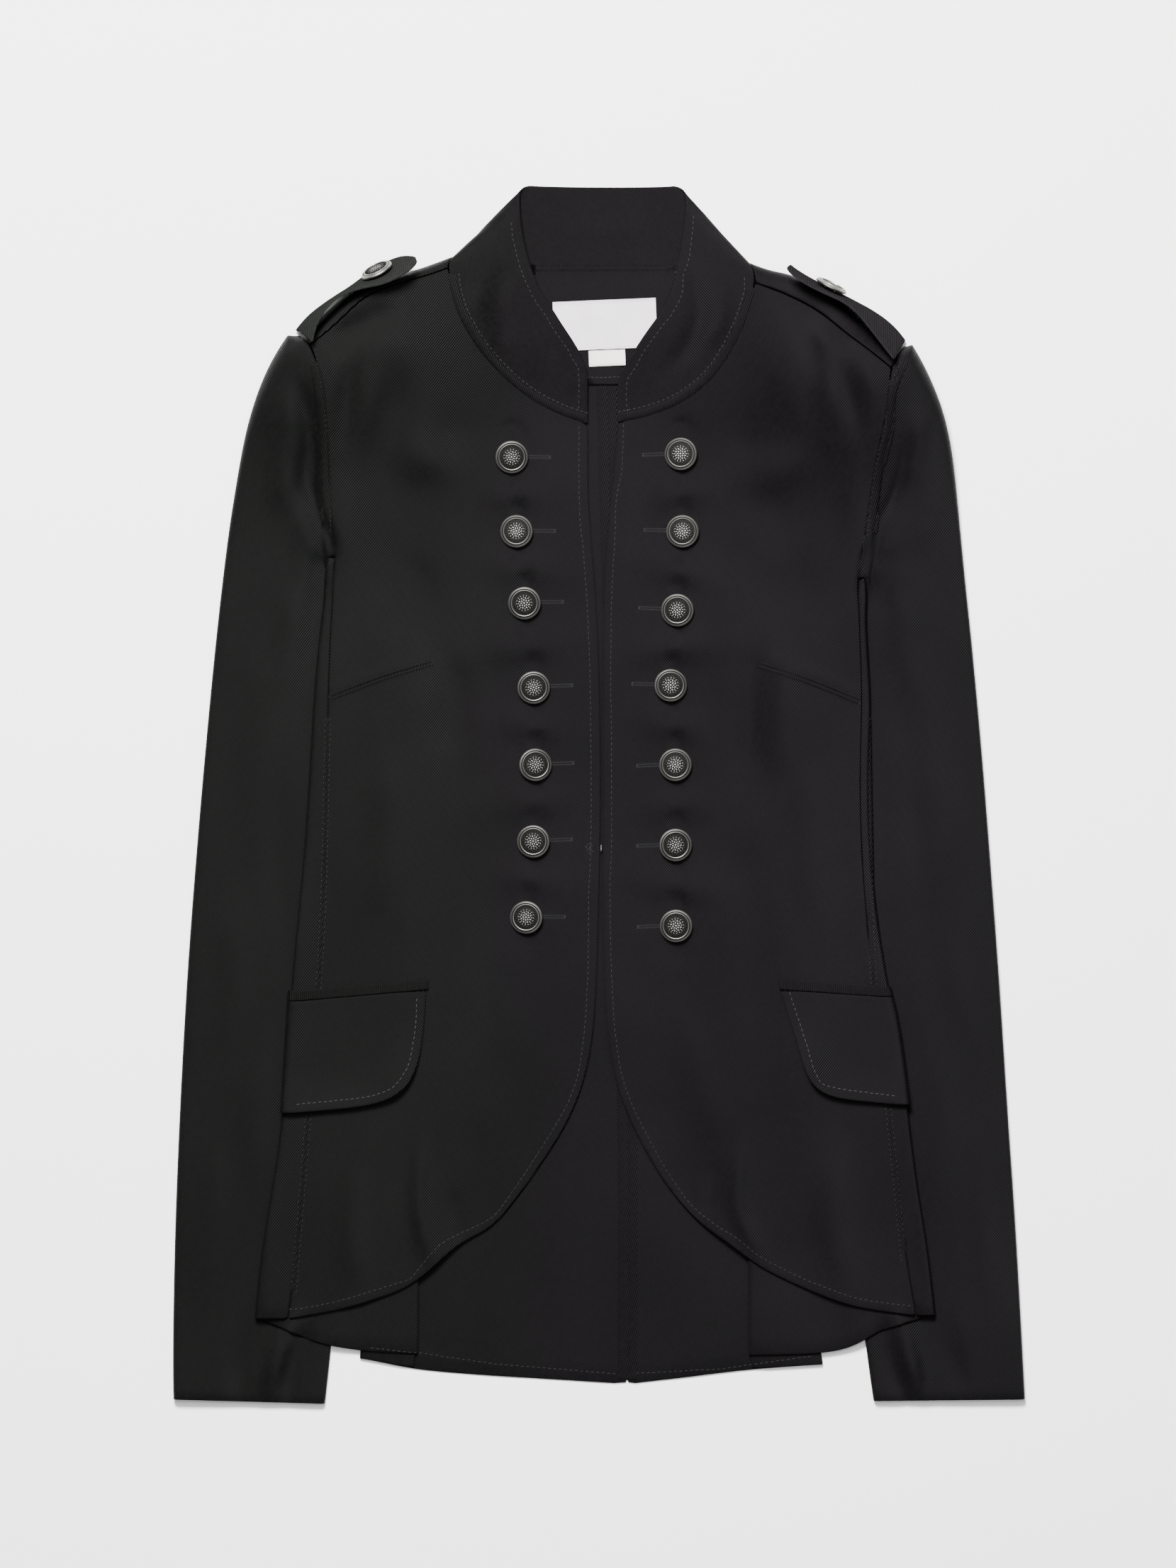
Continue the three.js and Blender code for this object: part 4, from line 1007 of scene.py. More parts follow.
SLEEVE_FOLDS: dict[Side, tuple[Fold, ...]] = {
    Side.RIGHT: (
        Fold(((-179, 250), (-171, 214), (-175.5, 170)), 8, -3.0),
        Fold(((-190, 248), (-186, 208), (-188, 160)), 13, 2.0),
        Fold(((-173.5, 217), (-170.3, 207), (-169.5, 178), (-166, 168)), 4, -2.2),
        Fold(((-166, 168), (-158.8, 150), (-158.6, 133)), 4.5, -1.8),
        Fold(((-171, 150), (-166, 130), (-168, 104)), 9, -1.4),
        Fold(((-186, 128), (-182, 96), (-190, 50)), 12, 1.4),
        Fold(((-205, 96), (-198, 40), (-206, -20)), 15, 1.0),
        Fold(((-186, 10), (-190, -40), (-186, -96)), 9, -0.6),
        Fold(((-226, -60), (-214, -100), (-222, -150)), 13, 0.9),
        Fold(((-196, -150), (-204, -190), (-198, -240)), 12, 0.9),
        Fold(((-238, -200), (-226, -236), (-238, -290)), 10, 0.8),
        Fold(((-186, -322), (-200, -340), (-204, -358)), 8, 0.9),
        Fold(((-172, -318), (-180, -336), (-184, -358)), 4, -3.6, 0.2),
        Fold(((-178, -306), (-190, -332), (-197, -357)), 6, 3.6, 0.3),
        Fold(((-200, -318), (-212, -336), (-216, -354)), 7, -1.8, 0.3),
    ),
    Side.LEFT: (
        Fold(((184.2, 217), (179, 190), (172.8, 172.6), (165.5, 158)), 5, -2.2),
        Fold(((190, 232), (186, 204), (180, 178)), 9, 2.0),
        Fold(((160.7, 151), (156.9, 140.7), (155.2, 126), (155.6, 110)), 5, -1.6),
        Fold(((200, 224), (196, 180), (186, 132)), 14, 1.4),
        Fold(((176, 152), (168, 128), (170, 96)), 9, -1.2),
        Fold(((184, 126), (182, 96), (190, 44)), 12, 1.4),
        Fold(((206, 92), (196, 30), (206, -30)), 15, 1.0),
        Fold(((184, 4), (190, -50), (184, -100)), 9, -0.6),
        Fold(((222, -46), (210, -96), (222, -150)), 13, 0.9),
        Fold(((198, -146), (206, -196), (198, -244)), 12, 0.9),
        Fold(((236, -210), (226, -250), (236, -300)), 10, 0.8),
        Fold(((180, -318), (186, -338), (178, -357)), 8, 0.9),
        Fold(((166, -316), (171, -336), (181, -358)), 4, -3.6, 0.2),
        Fold(((174, -304), (182, -330), (192, -356)), 6, 3.6, 0.3),
        Fold(((200, -314), (210, -336), (214, -354)), 7, -1.8, 0.3),
    ),
}

COLLAR_FOLDS = (
    Fold(((50, 316), (58, 292), (54, 268), (38, 250)), 8, -1.3),
    Fold(((66, 306), (72, 286), (62, 262)), 9, 1.3),
    Fold(((-52, 318), (-60, 292), (-52, 262)), 9, -0.9),
    Fold(((-70, 304), (-72, 284), (-60, 258)), 9, 1.0),
    Fold(((-28, 266), (-22, 250), (-12, 236)), 7, 0.6),
    Fold(((-30, 336), (6, 333), (34, 337)), 9, 0.6),
)

BACK_FOLDS = (
    Fold(((-62, -262), (-56, -300), (-60, -340)), 12, 0.8),
    Fold(((58, -252), (52, -300), (56, -342)), 12, 0.8),
    Fold(((-20, -200), (-22, -260), (-16, -330)), 14, 0.7),
    Fold(((40, 240), (20, 180), (4, 120)), 12, 0.5),
)


ALL_FOLDS = (
    *FRONT_FOLDS[Side.RIGHT],
    *FRONT_FOLDS[Side.LEFT],
    *SLEEVE_FOLDS[Side.RIGHT],
    *SLEEVE_FOLDS[Side.LEFT],
    *button_row_folds(Side.RIGHT),
    *button_row_folds(Side.LEFT),
    *COLLAR_FOLDS,
    *BACK_FOLDS,
)


# How much all folds are raised, how far a valley may sink into what lies below it, and the
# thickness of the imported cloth
FOLD_STRENGTH = 1.2
SINK_SHARE = 0.28
CLOTH_THICKNESS = 1.2


def settle(points: np.ndarray) -> np.ndarray:
    """Works out how far the folds move points; what lies higher never passes what lies lower.

    Args:
        points: Points of the frame in metres, one row each.

    Returns:
        The rise of each in metres.
    """
    plan = points[:, :2] / MM - np.array(SHIFT)
    height = points[:, 2] / MM
    lift = FOLD_STRENGTH * sum((fold.lift(plan) for fold in ALL_FOLDS), np.zeros(len(plan)))
    deepest = -SINK_SHARE * np.clip(height - CLOTH_THICKNESS, 0, 14)
    share = np.clip(0.3 + height / 7, 0.3, 1)
    moved = np.where(lift > 0, lift * share, np.maximum(lift, deepest))
    return (moved + gentle_waves(plan) * np.clip(0.35 + height / 8, 0.35, 1)) * MM


@dataclass(frozen=True)
class Nudge:
    """A small pull of the cloth, across, up and off the floor, that fades away from its middle."""

    middle: Spot
    reach: Spot
    shift: tuple[float, float, float]

    def apply(self, points: np.ndarray) -> None:
        """Pulls points in place.

        Args:
            points: Points of the frame in metres, one row each.
        """
        plan = points[:, :2] / MM - np.array(SHIFT)
        away = ((plan - np.array(self.middle)) / np.array(self.reach)) ** 2
        pull = np.exp(-away.sum(axis=1))[:, None]
        points += pull * np.array(self.shift) * MM


@dataclass
class ClothPanel:
    """One cut of the jacket's cloth: a thin shell on its solid's form, with its folds laid in."""

    name: str
    node: str
    flat: Spot
    share: float
    levels: int = 3
    plain_split: bool = False
    nudges: tuple[Nudge, ...] = ()
    turn: float = 0.0
    rests_on: tuple[str, ...] = ()
    edge_crease: float = 0.8
    corner_angle: float = 55.0
    finish: TwillFinish = TwillFinish()
    piece: bpy.types.Object | None = field(default=None, init=False)

    def build(self) -> bpy.types.Object:
        """Returns:
            The finished cloth piece.
        """
        self.piece = self.copy_form()
        subdivide(self.piece, self.levels, "SIMPLE" if self.plain_split else "CATMULL_CLARK")
        points = points_of(self.piece)
        for nudge in self.nudges:
            nudge.apply(points)
        points[:, 2] += settle(points)
        move_points(self.piece, points)
        write_grain(self.piece, self.turn)
        smooth(self.piece)
        take_up(self.piece, (self.node,))
        return self.piece

    def copy_form(self) -> bpy.types.Object:
        """Copies the node's mesh as welded quads with its rims creased.

        Returns:
            The new object.
        """
        piece = copy_node(self.node, self.name, self.finish)
        work = bmesh.new()
        work.from_mesh(piece.data)
        for layer in list(work.loops.layers.uv.values()):
            work.loops.layers.uv.remove(layer)
        bmesh.ops.join_triangles(
            work,
            faces=work.faces,
            angle_face_threshold=math.radians(42),
            angle_shape_threshold=math.radians(65),
        )
        crease = work.edges.layers.float.get("crease_edge")
        crease = crease or work.edges.layers.float.new("crease_edge")
        for edge in work.edges:
            if edge.is_manifold and edge.calc_face_angle() > math.radians(self.corner_angle):
                edge[crease] = self.edge_crease
        work.to_mesh(piece.data)
        work.free()
        return piece

    def declare(self, with_pieces: list[bpy.types.Object]) -> None:
        """Args:
            with_pieces: Its sewing and other pieces that go with it; not used.
        """
        width, length = (x * MM for x in self.flat)
        shell = sum(face.area for face in self.piece.data.polygons) / 2
        log.info("%s: cut %.4f m2, share %.3f", self.name, shell, shell / (width * length))
        self.share * width * length


# Sewing


class Bead:
    """One small rounded body that stitches and ornament repeat."""

    def __init__(self, segments: int, rings: int) -> None:
        """Models the body once as a unit ball.

        Args:
            segments: Faces round it.
            rings: Rows of faces from pole to pole.
        """
        bpy.ops.object.select_all(action="DESELECT")
        bpy.ops.mesh.primitive_uv_sphere_add(segments=segments, ring_count=rings, radius=1.0)
        ball = bpy.context.object
        self.points = points_of(ball)
        self.faces = [tuple(p.vertices) for p in ball.data.polygons]
        bpy.data.objects.remove(ball)

    def placed(self, frames: list[np.ndarray]) -> tuple[np.ndarray, list[tuple[int, ...]]]:
        """Copies the body to many places.

        Args:
            frames: For each copy, three half axes and the middle, as rows.

        Returns:
            All points and all faces.
        """
        points = [self.points @ axes[:3] + axes[3] for axes in frames]
        count = len(self.points)
        faces = [
            tuple(i + number * count for i in corners)
            for number in range(len(frames))
            for corners in self.faces
        ]
        return np.concatenate(points), faces


SMALL_BEAD = Bead(6, 4)


@dataclass
class StitchRow:
    """A run of machine stitches along a line on the cloth."""

    route: Route
    pitch: float = 3.2
    length: float = 2.45
    width: float = 0.5
    height: float = 0.32
    sink: float = 0.02
    jitter: float = 0.12

    def frames(self, surface: Surface, draw: random.Random) -> list[np.ndarray]:
        """Finds where each stitch lies.

        Args:
            surface: The cloth below.
            draw: The seeded source of small differences.

        Returns:
            Half axes and middle of each stitch.
        """
        found = []
        station = self.pitch / 2
        while station < self.route.length:
            here, tangent = self.route.at(station)
            across = np.array([-tangent[1], tangent[0]])
            here = here + across * draw.uniform(-self.jitter, self.jitter)
            station += self.pitch
            seat = surface.under(float(here[0]), float(here[1]))
            if seat is None:
                continue
            length = self.length * draw.uniform(0.9, 1.06)
            found.append(lie_along(seat, tangent, length, self.width, self.height, self.sink))
        return found


def lie_along(
    seat: tuple[Vector, Vector],
    tangent: np.ndarray,
    length: float,
    width: float,
    height: float,
    sink: float,
) -> np.ndarray:
    """Lays a small body on the cloth.

    Args:
        seat: Point and normal of the cloth.
        tangent: Plan direction of its long axis.
        length: Long size in millimetres.
        width: Size across.
        height: Size off the cloth.
        sink: How deep its middle lies below the surface.

    Returns:
        Three half axes and the middle, as rows in metres.
    """
    point, normal = seat
    along = Vector((float(tangent[0]), float(tangent[1]), 0.0))
    along = (along - normal * along.dot(normal)).normalized()
    aside = normal.cross(along)
    return np.array(
        [
            along * (length / 2 * MM),
            aside * (width / 2 * MM),
            normal * (height / 2 * MM),
            point - normal * (sink * MM),
        ]
    )


@dataclass
class SeamRidge:
    """The relief of a seam, laid over the gap between two cuts or over a tuck in one.

    The profile holds distances to the left of the line and heights above the cloth. The cloth's own
    height is read at the two anchors and drawn straight between them. Beyond them the relief follows
    the cloth where it lies near that level.
    """

    name: str
    route: Route
    profile: Line
    anchors: Spot = (-1.8, 1.8)
    step: float = 2.2
    pucker: float = 0.05
    taper: float = 0.1
    follow: float = 1.6
    thickness: float = 0.35
    grain_turn: float = 20.0

    def build(self, surface: Surface) -> bpy.types.Object | None:
        """Sweeps the relief along its line on the cloth.

        Args:
            surface: The cloth below.

        Returns:
            The closed piece, or None where no cloth is below.
        """
        rows = []
        for number, station in enumerate(np.arange(0.0, self.route.length + 0.1, self.step)):
            here, tangent = self.route.at(float(station))
            aside = np.array([-tangent[1], tangent[0]])
            ends = [surface.under(*(here + aside * anchor)) for anchor in self.anchors]
            if ends[0] is None or ends[1] is None:
                continue
            base = [end[0].z / MM for end in ends]
            lift = self.pucker if number % 2 else 0.0
            full = min(station, self.route.length - station) / self.taper
            share = min(max(full, 0.0), 1.0)
            row = []
            for out, height in self.profile:
                level = float(np.interp(out, self.anchors, base))
                if not self.anchors[0] <= out <= self.anchors[1]:
                    seat = surface.under(*(here + aside * out))
                    if seat is not None and abs(seat[0].z / MM - level) < self.follow:
                        level = seat[0].z / MM
                rise = (height + lift) * share if height > 0 else height
                row.append(spot(*(here + aside * out), level + rise))
            rows.append(row)
        if len(rows) < 3:
            return None
        faces = grid_faces(len(rows), len(self.profile))
        verts = np.array([point for row in rows for point in row])
        piece = mesh_object(self.name, verts, faces, TwillFinish())
        if sum(face.normal.z for face in piece.data.polygons) < 0:
            piece.data.flip_normals()
        apply_modifier(piece, "SOLIDIFY", thickness=self.thickness * MM, offset=-1.0)
        subdivide(piece, 1)
        write_grain(piece, self.grain_turn)
        smooth(piece, 80)
        return take_up(piece)


# Seam reliefs: distance to the left of the line and height above the cloth
CENTRE_SEAM_RELIEF = (
    (-6.4, -0.3), (-5.6, 0.2), (-3.0, 0.26), (-0.5, 0.24), (0.0, -0.12), (0.5, 0.24), (3.0, 0.26),
    (5.6, 0.2), (6.4, -0.3),
)
SIDE_SEAM_RELIEF = (
    (-2.4, -0.35), (-1.5, 0.04), (-0.7, 0.1), (-0.12, -0.08), (0.12, -0.08), (0.7, 0.1), (1.5, 0.04),
    (2.4, -0.35),
)
DART_RELIEF = (
    (-2.6, -0.3), (-1.6, 0.1), (-0.7, 0.26), (-0.1, -0.3), (0.1, -0.3), (0.7, 0.3), (1.8, 0.16),
    (3.0, -0.3),
)
NECK_SEAM_RELIEF = (
    (-2.8, -0.3), (-2.0, 0.1), (-0.8, 0.2), (-0.1, -0.2), (0.1, -0.2), (0.9, 0.3), (2.4, 0.2),
    (3.2, -0.3),
)
WELT_LEFT = (
    (-2.0, -0.35), (-1.2, 0.0), (-0.3, -0.12), (0.1, -0.1), (0.7, 0.36), (1.9, 0.6), (3.6, 0.56),
    (4.8, 0.36), (5.9, -0.3),
)
WELT_RIGHT = tuple((-aside, height) for aside, height in reversed(WELT_LEFT))


@dataclass
class Sewing:
    """All thread on one cloth piece, as one mesh."""

    name: str
    rows: list[StitchRow]
    finish: ThreadFinish = BLACK_THREAD
    slot: Slot = Slot.TWILL
    extra: list[np.ndarray] = field(default_factory=list)

    def build(self, surface: Surface) -> bpy.types.Object:
        """Lays every stitch.

        Args:
            surface: The cloth below.

        Returns:
            The thread as one piece.
        """
        draw = random.Random(self.name)
        stitches = [stitch for row in self.rows for stitch in row.frames(surface, draw)]
        verts, faces = SMALL_BEAD.placed(stitches + self.extra)
        piece = mesh_object(self.name, verts, faces, self.finish)
        smooth(piece, 80)
        return take_up(piece)


# Edges and seams in the plan, each from the collar end down or from the middle outwards
EDGE_RIGHT = (
    (-6.9, 218.8), (-6.5, 168.0), (-4.0, 141.1), (-1.1, 92.8), (0.2, 37.8), (0.2, -29.8),
    (-1.1, -57.1), (-1.5, -102.1), (-4.4, -147.0), (-11.5, -179.3), (-30.0, -212.1), (-52.7, -245.7),
    (-62.4, -255.8), (-84.6, -266.7), (-93.0, -272.2), (-108.1, -289.8), (-117.8, -294.0),
    (-131.7, -298.2), (-152.7, -304.5), (-173.7, -308.7), (-198.0, -311.0),
)
EDGE_LEFT = (
    (9.0, 220.1), (8.2, 192.8), (4.8, 175.6), (4.0, 151.6), (2.3, 123.1), (1.5, 78.1), (1.9, 37.8),
    (1.9, -29.8), (1.1, -57.1), (1.9, -102.1), (4.8, -147.0), (12.0, -179.3), (30.4, -216.7),
    (43.9, -237.7), (52.3, -248.2), (67.8, -260.4), (77.9, -266.3), (90.9, -276.8), (107.7, -286.0),
    (123.3, -293.2), (134.6, -297.4), (151.8, -303.2), (171.6, -306.2), (194.0, -308.6),
)
COLLAR_FREE = {
    Side.RIGHT: (
        (-6.9, 221.0), (-6.5, 235.6), (-6.9, 252.4), (-10.7, 260.0), (-14.5, 267.5), (-20.8, 275.9),
        (-27.9, 287.7), (-33.4, 295.3), (-39.7, 308.7), (-42.6, 317.5), (-45.6, 330.1), (-46.6, 341.0),
    ),
    Side.LEFT: (
        (11.5, 222.0), (10.3, 235.6), (11.5, 247.8), (16.2, 254.9), (21.2, 264.2), (27.5, 273.4),
        (33.8, 281.8), (38.0, 286.9), (43.5, 297.4), (44.3, 308.3), (47.7, 318.8), (49.4, 333.5),
        (50.4, 343.0),
    ),
}
COLLAR_SEAM = {
    Side.RIGHT: (
        (-89.2, 308.0), (-88.0, 298.2), (-82.5, 281.8), (-71.2, 262.9), (-56.5, 246.5), (-40.5, 233.9),
        (-24.6, 225.5), (-8.4, 219.9),
    ),
    Side.LEFT: (
        (91.9, 306.0), (91.3, 294.8), (84.6, 275.5), (76.6, 259.6), (65.7, 244.9), (49.4, 232.3),
        (30.0, 224.3), (12.8, 220.6),
    ),
}
DART = {
    Side.RIGHT: ((-163.0, 55.8), (-130.0, 68.4), (-96.8, 78.5)),
    Side.LEFT: ((158.0, 53.6), (125.0, 66.9), (92.6, 77.7)),
}
SIDE_SEAM = {
    Side.RIGHT: ((-160.4, 46.0), (-164.0, -81.5), (-172.4, -194.0), (-180.8, -296.0)),
    Side.LEFT: ((158.4, 46.0), (161.5, -100.4), (170.7, -184.4), (180.0, -276.0)),
}
ARMHOLE = {
    Side.RIGHT: ((-180.0, 270.0), (-168.6, 265.0), (-163.4, 240.2), (-160.0, 204.5), (-158.3, 152.9)),
    Side.LEFT: ((181.0, 264.0), (170.9, 240.2), (168.0, 217.1), (162.5, 191.5), (158.0, 152.9)),
}
FLAP_STITCH = {
    Side.RIGHT: (
        (-108.0, -120.0), (-108.6, -135.7), (-112.0, -156.8), (-115.4, -164.6), (-121.6, -172.4),
        (-128.4, -176.0), (-141.6, -179.3), (-181.0, -183.2),
    ),
    Side.LEFT: (
        (112.2, -116.4), (121.2, -143.5), (128.6, -166.3), (138.4, -173.1), (176.5, -178.2),
    ),
}
WELT_STITCH = {
    Side.RIGHT: ((-181.0, -122.4), (-142.0, -119.2), (-103.0, -116.2)),
    Side.LEFT: ((172.0, -119.6), (140.0, -117.8), (108.0, -115.6)),
}
FLAP_CURL = {
    Side.RIGHT: (
        Nudge((-112.0, -180.0), (20.0, 24.0), (0.0, 0.0, 4.6)),
        Nudge((-150.0, -190.0), (30.0, 15.0), (0.0, 0.0, 3.4)),
        Nudge((-186.0, -192.0), (16.0, 20.0), (0.0, 0.0, 2.6)),
    ),
    Side.LEFT: (
        Nudge((116.0, -172.0), (18.0, 24.0), (0.0, 0.0, 5.0)),
        Nudge((146.0, -186.0), (26.0, 15.0), (0.0, 0.0, 3.6)),
        Nudge((182.0, -188.0), (14.0, 20.0), (0.0, 0.0, 2.6)),
    ),
}
SIDE_LIFT = {
    side: tuple(
        Nudge((side.value * across, up), (9.0, 50.0), (0.0, 0.0, 2.6))
        for across, up in ((182.0, -75.0), (189.0, -165.0), (198.0, -255.0))
    )
    for side in Side
}
SHOULDER_PULL = {
    Side.RIGHT: (
        Nudge((-143.0, 291.0), (26.0, 13.0), (0.0, 6.4, 0.0)),
        Nudge((-116.0, 303.0), (15.0, 9.0), (0.0, 1.6, 0.0)),
    ),
    Side.LEFT: (
        Nudge((140.0, 291.0), (24.0, 13.0), (0.0, 5.0, 0.0)),
        Nudge((114.0, 303.0), (15.0, 9.0), (0.0, 3.0, 0.0)),
    ),
}
# Where the slit under each arm lies, and how far sleeve and body close over it
UNDERARM_SLIT = {Side.RIGHT: (-161.2, 133.0), Side.LEFT: (154.4, 120.0)}
SLEEVE_PULL = 2.5
BODY_PULL = 1.4
CENTRE_SEAM = ((4.4, 308.5), (4.9, 219.0), (9.4, 60.0), (14.5, -100.0), (16.6, -200.0), (16.7, -347.0))
COLLAR_BACK_SEAM = ((-43.0, 310.7), (4.0, 310.9), (46.0, 311.0))
BACK_HEM = (
    (-136.0, -327.4), (-107.3, -330.6), (-60.0, -337.4), (11.5, -343.2), (70.0, -340.4), (126.0, -332.4),
)
NECK_SEAM = ((-43.0, 315.0), (4.0, 314.6), (46.0, 315.6))
FACING_STITCH = ((-8.0, 247.2), (4.0, 247.0), (13.0, 247.6))


def inside_row(points: Line, side: Side, distance: float) -> Route:
    """A line moved into the panel of a side, for lines that run down its front edge."""
    return Route(points).beside(side.value * distance)


# A worked buttonhole: its first stitch's distance from the button's middle, the stitches' number
# and pitch along it, the rows' distance from its line, its rise above the middle, its bar's distance
HOLE_START = 9.4
HOLE_STITCHES = 19
HOLE_PITCH = 0.68
HOLE_HALF = 0.72
HOLE_RISE = 0.4
HOLE_BAR = 22.6


def buttonhole(side: Side, node: str, surface: Surface) -> list[np.ndarray]:
    """Works one buttonhole in satin stitches beside a button.

    Args:
        side: The jacket front that it lies on.
        node: The button's node.
        surface: The cloth below.

    Returns:
        Half axes and middle of each stitch.
    """
    draw = random.Random(node)
    middle = middle_of(node)
    inward = -side.value
    tilt = draw.uniform(-0.05, 0.05)
    found = []
    level = middle[1] + HOLE_RISE
    over, along = np.array([0.12, 1.0]), np.array([1.0, 0.0])
    for step in range(HOLE_STITCHES):
        out = HOLE_START + step * HOLE_PITCH
        for half in (-HOLE_HALF, HOLE_HALF):
            y = level + tilt * out + half + draw.uniform(-0.05, 0.05)
            seat = surface.under(middle[0] + inward * out, y)
            if seat is not None:
                found.append(lie_along(seat, over, length=1.15, width=0.42, height=0.36, sink=0.04))
    for up in (-0.9, -0.45, 0.0, 0.45, 0.9):
        seat = surface.under(middle[0] + inward * HOLE_BAR, level + tilt * HOLE_BAR + up)
        if seat is not None:
            found.append(lie_along(seat, along, length=1.5, width=0.42, height=0.4, sink=0.04))
    return found


# The jacket's halves

# Flat cut of each piece: width, length, and the share of that rectangle that the cut fills
CUTS = {
    "front_right": (190, 625, 0.733),
    "front_left": (188, 622, 0.72),
    "side_back_right": (130, 655, 0.727),
    "side_back_left": (130, 652, 0.726),
    "centre_back_right": (160, 668, 0.748),
    "centre_back_left": (132, 665, 0.696),
    "sleeve_right": (240, 640, 0.761),
    "sleeve_left": (236, 632, 0.744),
    "pocket_flap_right": (86, 72, 0.859),
    "pocket_flap_left": (77, 68, 0.765),
    "pocket_welt_right": (84, 12, 0.59),
    "pocket_welt_left": (68, 12, 0.588),
    "shoulder_strap_right": (58, 66, 0.78),
    "shoulder_strap_left": (58, 65, 0.78),
    "back_neck_facing": (134, 68, 0.956),
    "collar": (370, 72, 0.687),
}


def panel(node: str, **settings: object) -> ClothPanel:
    """Sets up a cloth panel named after its node, with its tabled cut.

    Args:
        node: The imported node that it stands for.
        **settings: The panel's other fields.

    Returns:
        The panel, not yet built.
    """
    width, length, share = CUTS[node]
    return ClothPanel(f"{node}_cloth", node, (width, length), share, **settings)


@dataclass
class JacketHalf:
    """One side of the jacket: front, back, sleeve, pocket and shoulder strap with their sewing."""

    side: Side
    panels: dict[str, ClothPanel] = field(default_factory=dict, init=False)

    def build(self) -> None:
        """Builds the cloth, then the sewing that lies on it."""
        word = self.side.word
        slit, pull = UNDERARM_SLIT[self.side], -self.side.value
        to_body = (Nudge(slit, (7.0, 16.0), (pull * SLEEVE_PULL, 0.0, 0.0)),)
        shoulder, edge = SHOULDER_PULL[self.side], SIDE_LIFT[self.side]
        to_sleeve = (Nudge(slit, (6.0, 14.0), (-pull * BODY_PULL, 0.0, 0.0)), *shoulder, *edge)
        self.panels = {
            "centre_back": panel(f"centre_back_{word}", levels=2),
            "side_back": panel(
                f"side_back_{word}", levels=2, rests_on=(f"centre_back_{word}",), nudges=to_sleeve
            ),
            "sleeve": panel(f"sleeve_{word}", levels=2, nudges=to_body),
            "front": panel(
                f"front_{word}",
                rests_on=(f"side_back_{word}", f"centre_back_{word}"),
                nudges=(*shoulder, *edge),
            ),
            "welt": panel(
                f"pocket_welt_{word}", rests_on=(f"front_{word}",), turn=40.0, nudges=edge
            ),
            "flap": panel(
                f"pocket_flap_{word}",
                rests_on=(f"front_{word}",),
                nudges=(*FLAP_CURL[self.side], *edge),
            ),
            "strap": panel(
                f"shoulder_strap_{word}",
                rests_on=(f"front_{word}",),
                turn=34.0,
                # The straps take the shaded copy of the twill: painted shade
                finish=SHADED_STRAP_TWILL,
            ),
        }
        for one in self.panels.values():
            one.build()
        self.sew_front()
        self.sew_pocket()
        self.sew_sleeve()
        self.sew_back()
        self.panels["strap"].declare([])

    def surface(self, *keys: str) -> Surface:
        """The upper surface of some of this half's panels."""
        return Surface(*(self.panels[key].piece for key in keys))

    def sew_front(self) -> None:
        """Topstitches the front, sinks its dart and works its buttonholes."""
        side, word = self.side, self.side.word
        surface = self.surface("front")
        edge = EDGE_RIGHT if side is Side.RIGHT else EDGE_LEFT
        rows = [
            StitchRow(inside_row(edge, side, 5.2)),
            StitchRow(Route(DART[side]).beside(0.9), pitch=2.6, length=1.6, width=0.4),
            StitchRow(Route(SIDE_SEAM[side]).beside(side.value * -1.4), pitch=3.0, length=1.4),
        ]
        seams = [
            SeamRidge(f"dart_{word}_tuck", Route(DART[side]), DART_RELIEF, (-1.4, 1.4)).build(surface),
            SeamRidge(f"side_{word}_seam", Route(SIDE_SEAM[side]), SIDE_SEAM_RELIEF).build(
                self.surface("front", "side_back")
            ),
        ]
        extra = [
            stitch for node in BUTTON_NODES[side] for stitch in buttonhole(side, node, surface)
        ]
        if side is Side.RIGHT:
            extra += hook_thread(surface)
        sewing = Sewing(f"front_{word}_sewing", rows, extra=extra).build(surface)
        self.panels["front"].declare([*(seam for seam in seams if seam), sewing])

    def sew_pocket(self) -> None:
        """Stitches the flap and the welt above it."""
        side, word = self.side, self.side.word
        # The flap's and welt's thread is the paler copy: painted highlight
        flap = Sewing(f"flap_{word}_sewing", [StitchRow(Route(FLAP_STITCH[side]))], LIT_FLAP_THREAD)
        self.panels["flap"].declare([flap.build(self.surface("flap"))])
        row = StitchRow(Route(WELT_STITCH[side]), pitch=2.9)
        welt = Sewing(f"welt_{word}_sewing", [row], LIT_FLAP_THREAD)
        self.panels["welt"].declare([welt.build(self.surface("welt", "front"))])

    def sew_sleeve(self) -> None:
        """Raises the armhole's welt on the sleeve and stitches beside it."""
        side, word = self.side, self.side.word
        surface = self.surface("sleeve", "front", "side_back")
        route = Route(ARMHOLE[side])
        profile = WELT_RIGHT if side is Side.RIGHT else WELT_LEFT
        ridge = SeamRidge(f"armhole_{word}_welt", route, profile, taper=22.0).build(surface)
        rows = [StitchRow(route.beside(side.value * 0.5), pitch=2.8, length=1.3, width=0.36)]
        sewing = Sewing(f"sleeve_{word}_sewing", rows).build(surface)
        self.panels["sleeve"].declare([ridge, sewing])

    def sew_back(self) -> None:
        """Stitches the side seam and the hem of the back."""
        side, word = self.side, self.side.word
        seam = Route(SIDE_SEAM[side]).beside(side.value * 1.6)
        rows = [StitchRow(seam, pitch=3.4, length=1.2, width=0.5)]
        sewing = Sewing(f"side_{word}_sewing", rows).build(self.surface("side_back", "front"))
        self.panels["side_back"].declare([sewing])
        half = tuple(p for p in BACK_HEM if (p[0] - 11.5) * side.value > -1)
        hem = Sewing(f"hem_{word}_sewing", [StitchRow(Route(half, curved=False))])
        self.panels["centre_back"].declare([hem.build(self.surface("centre_back", "side_back"))])


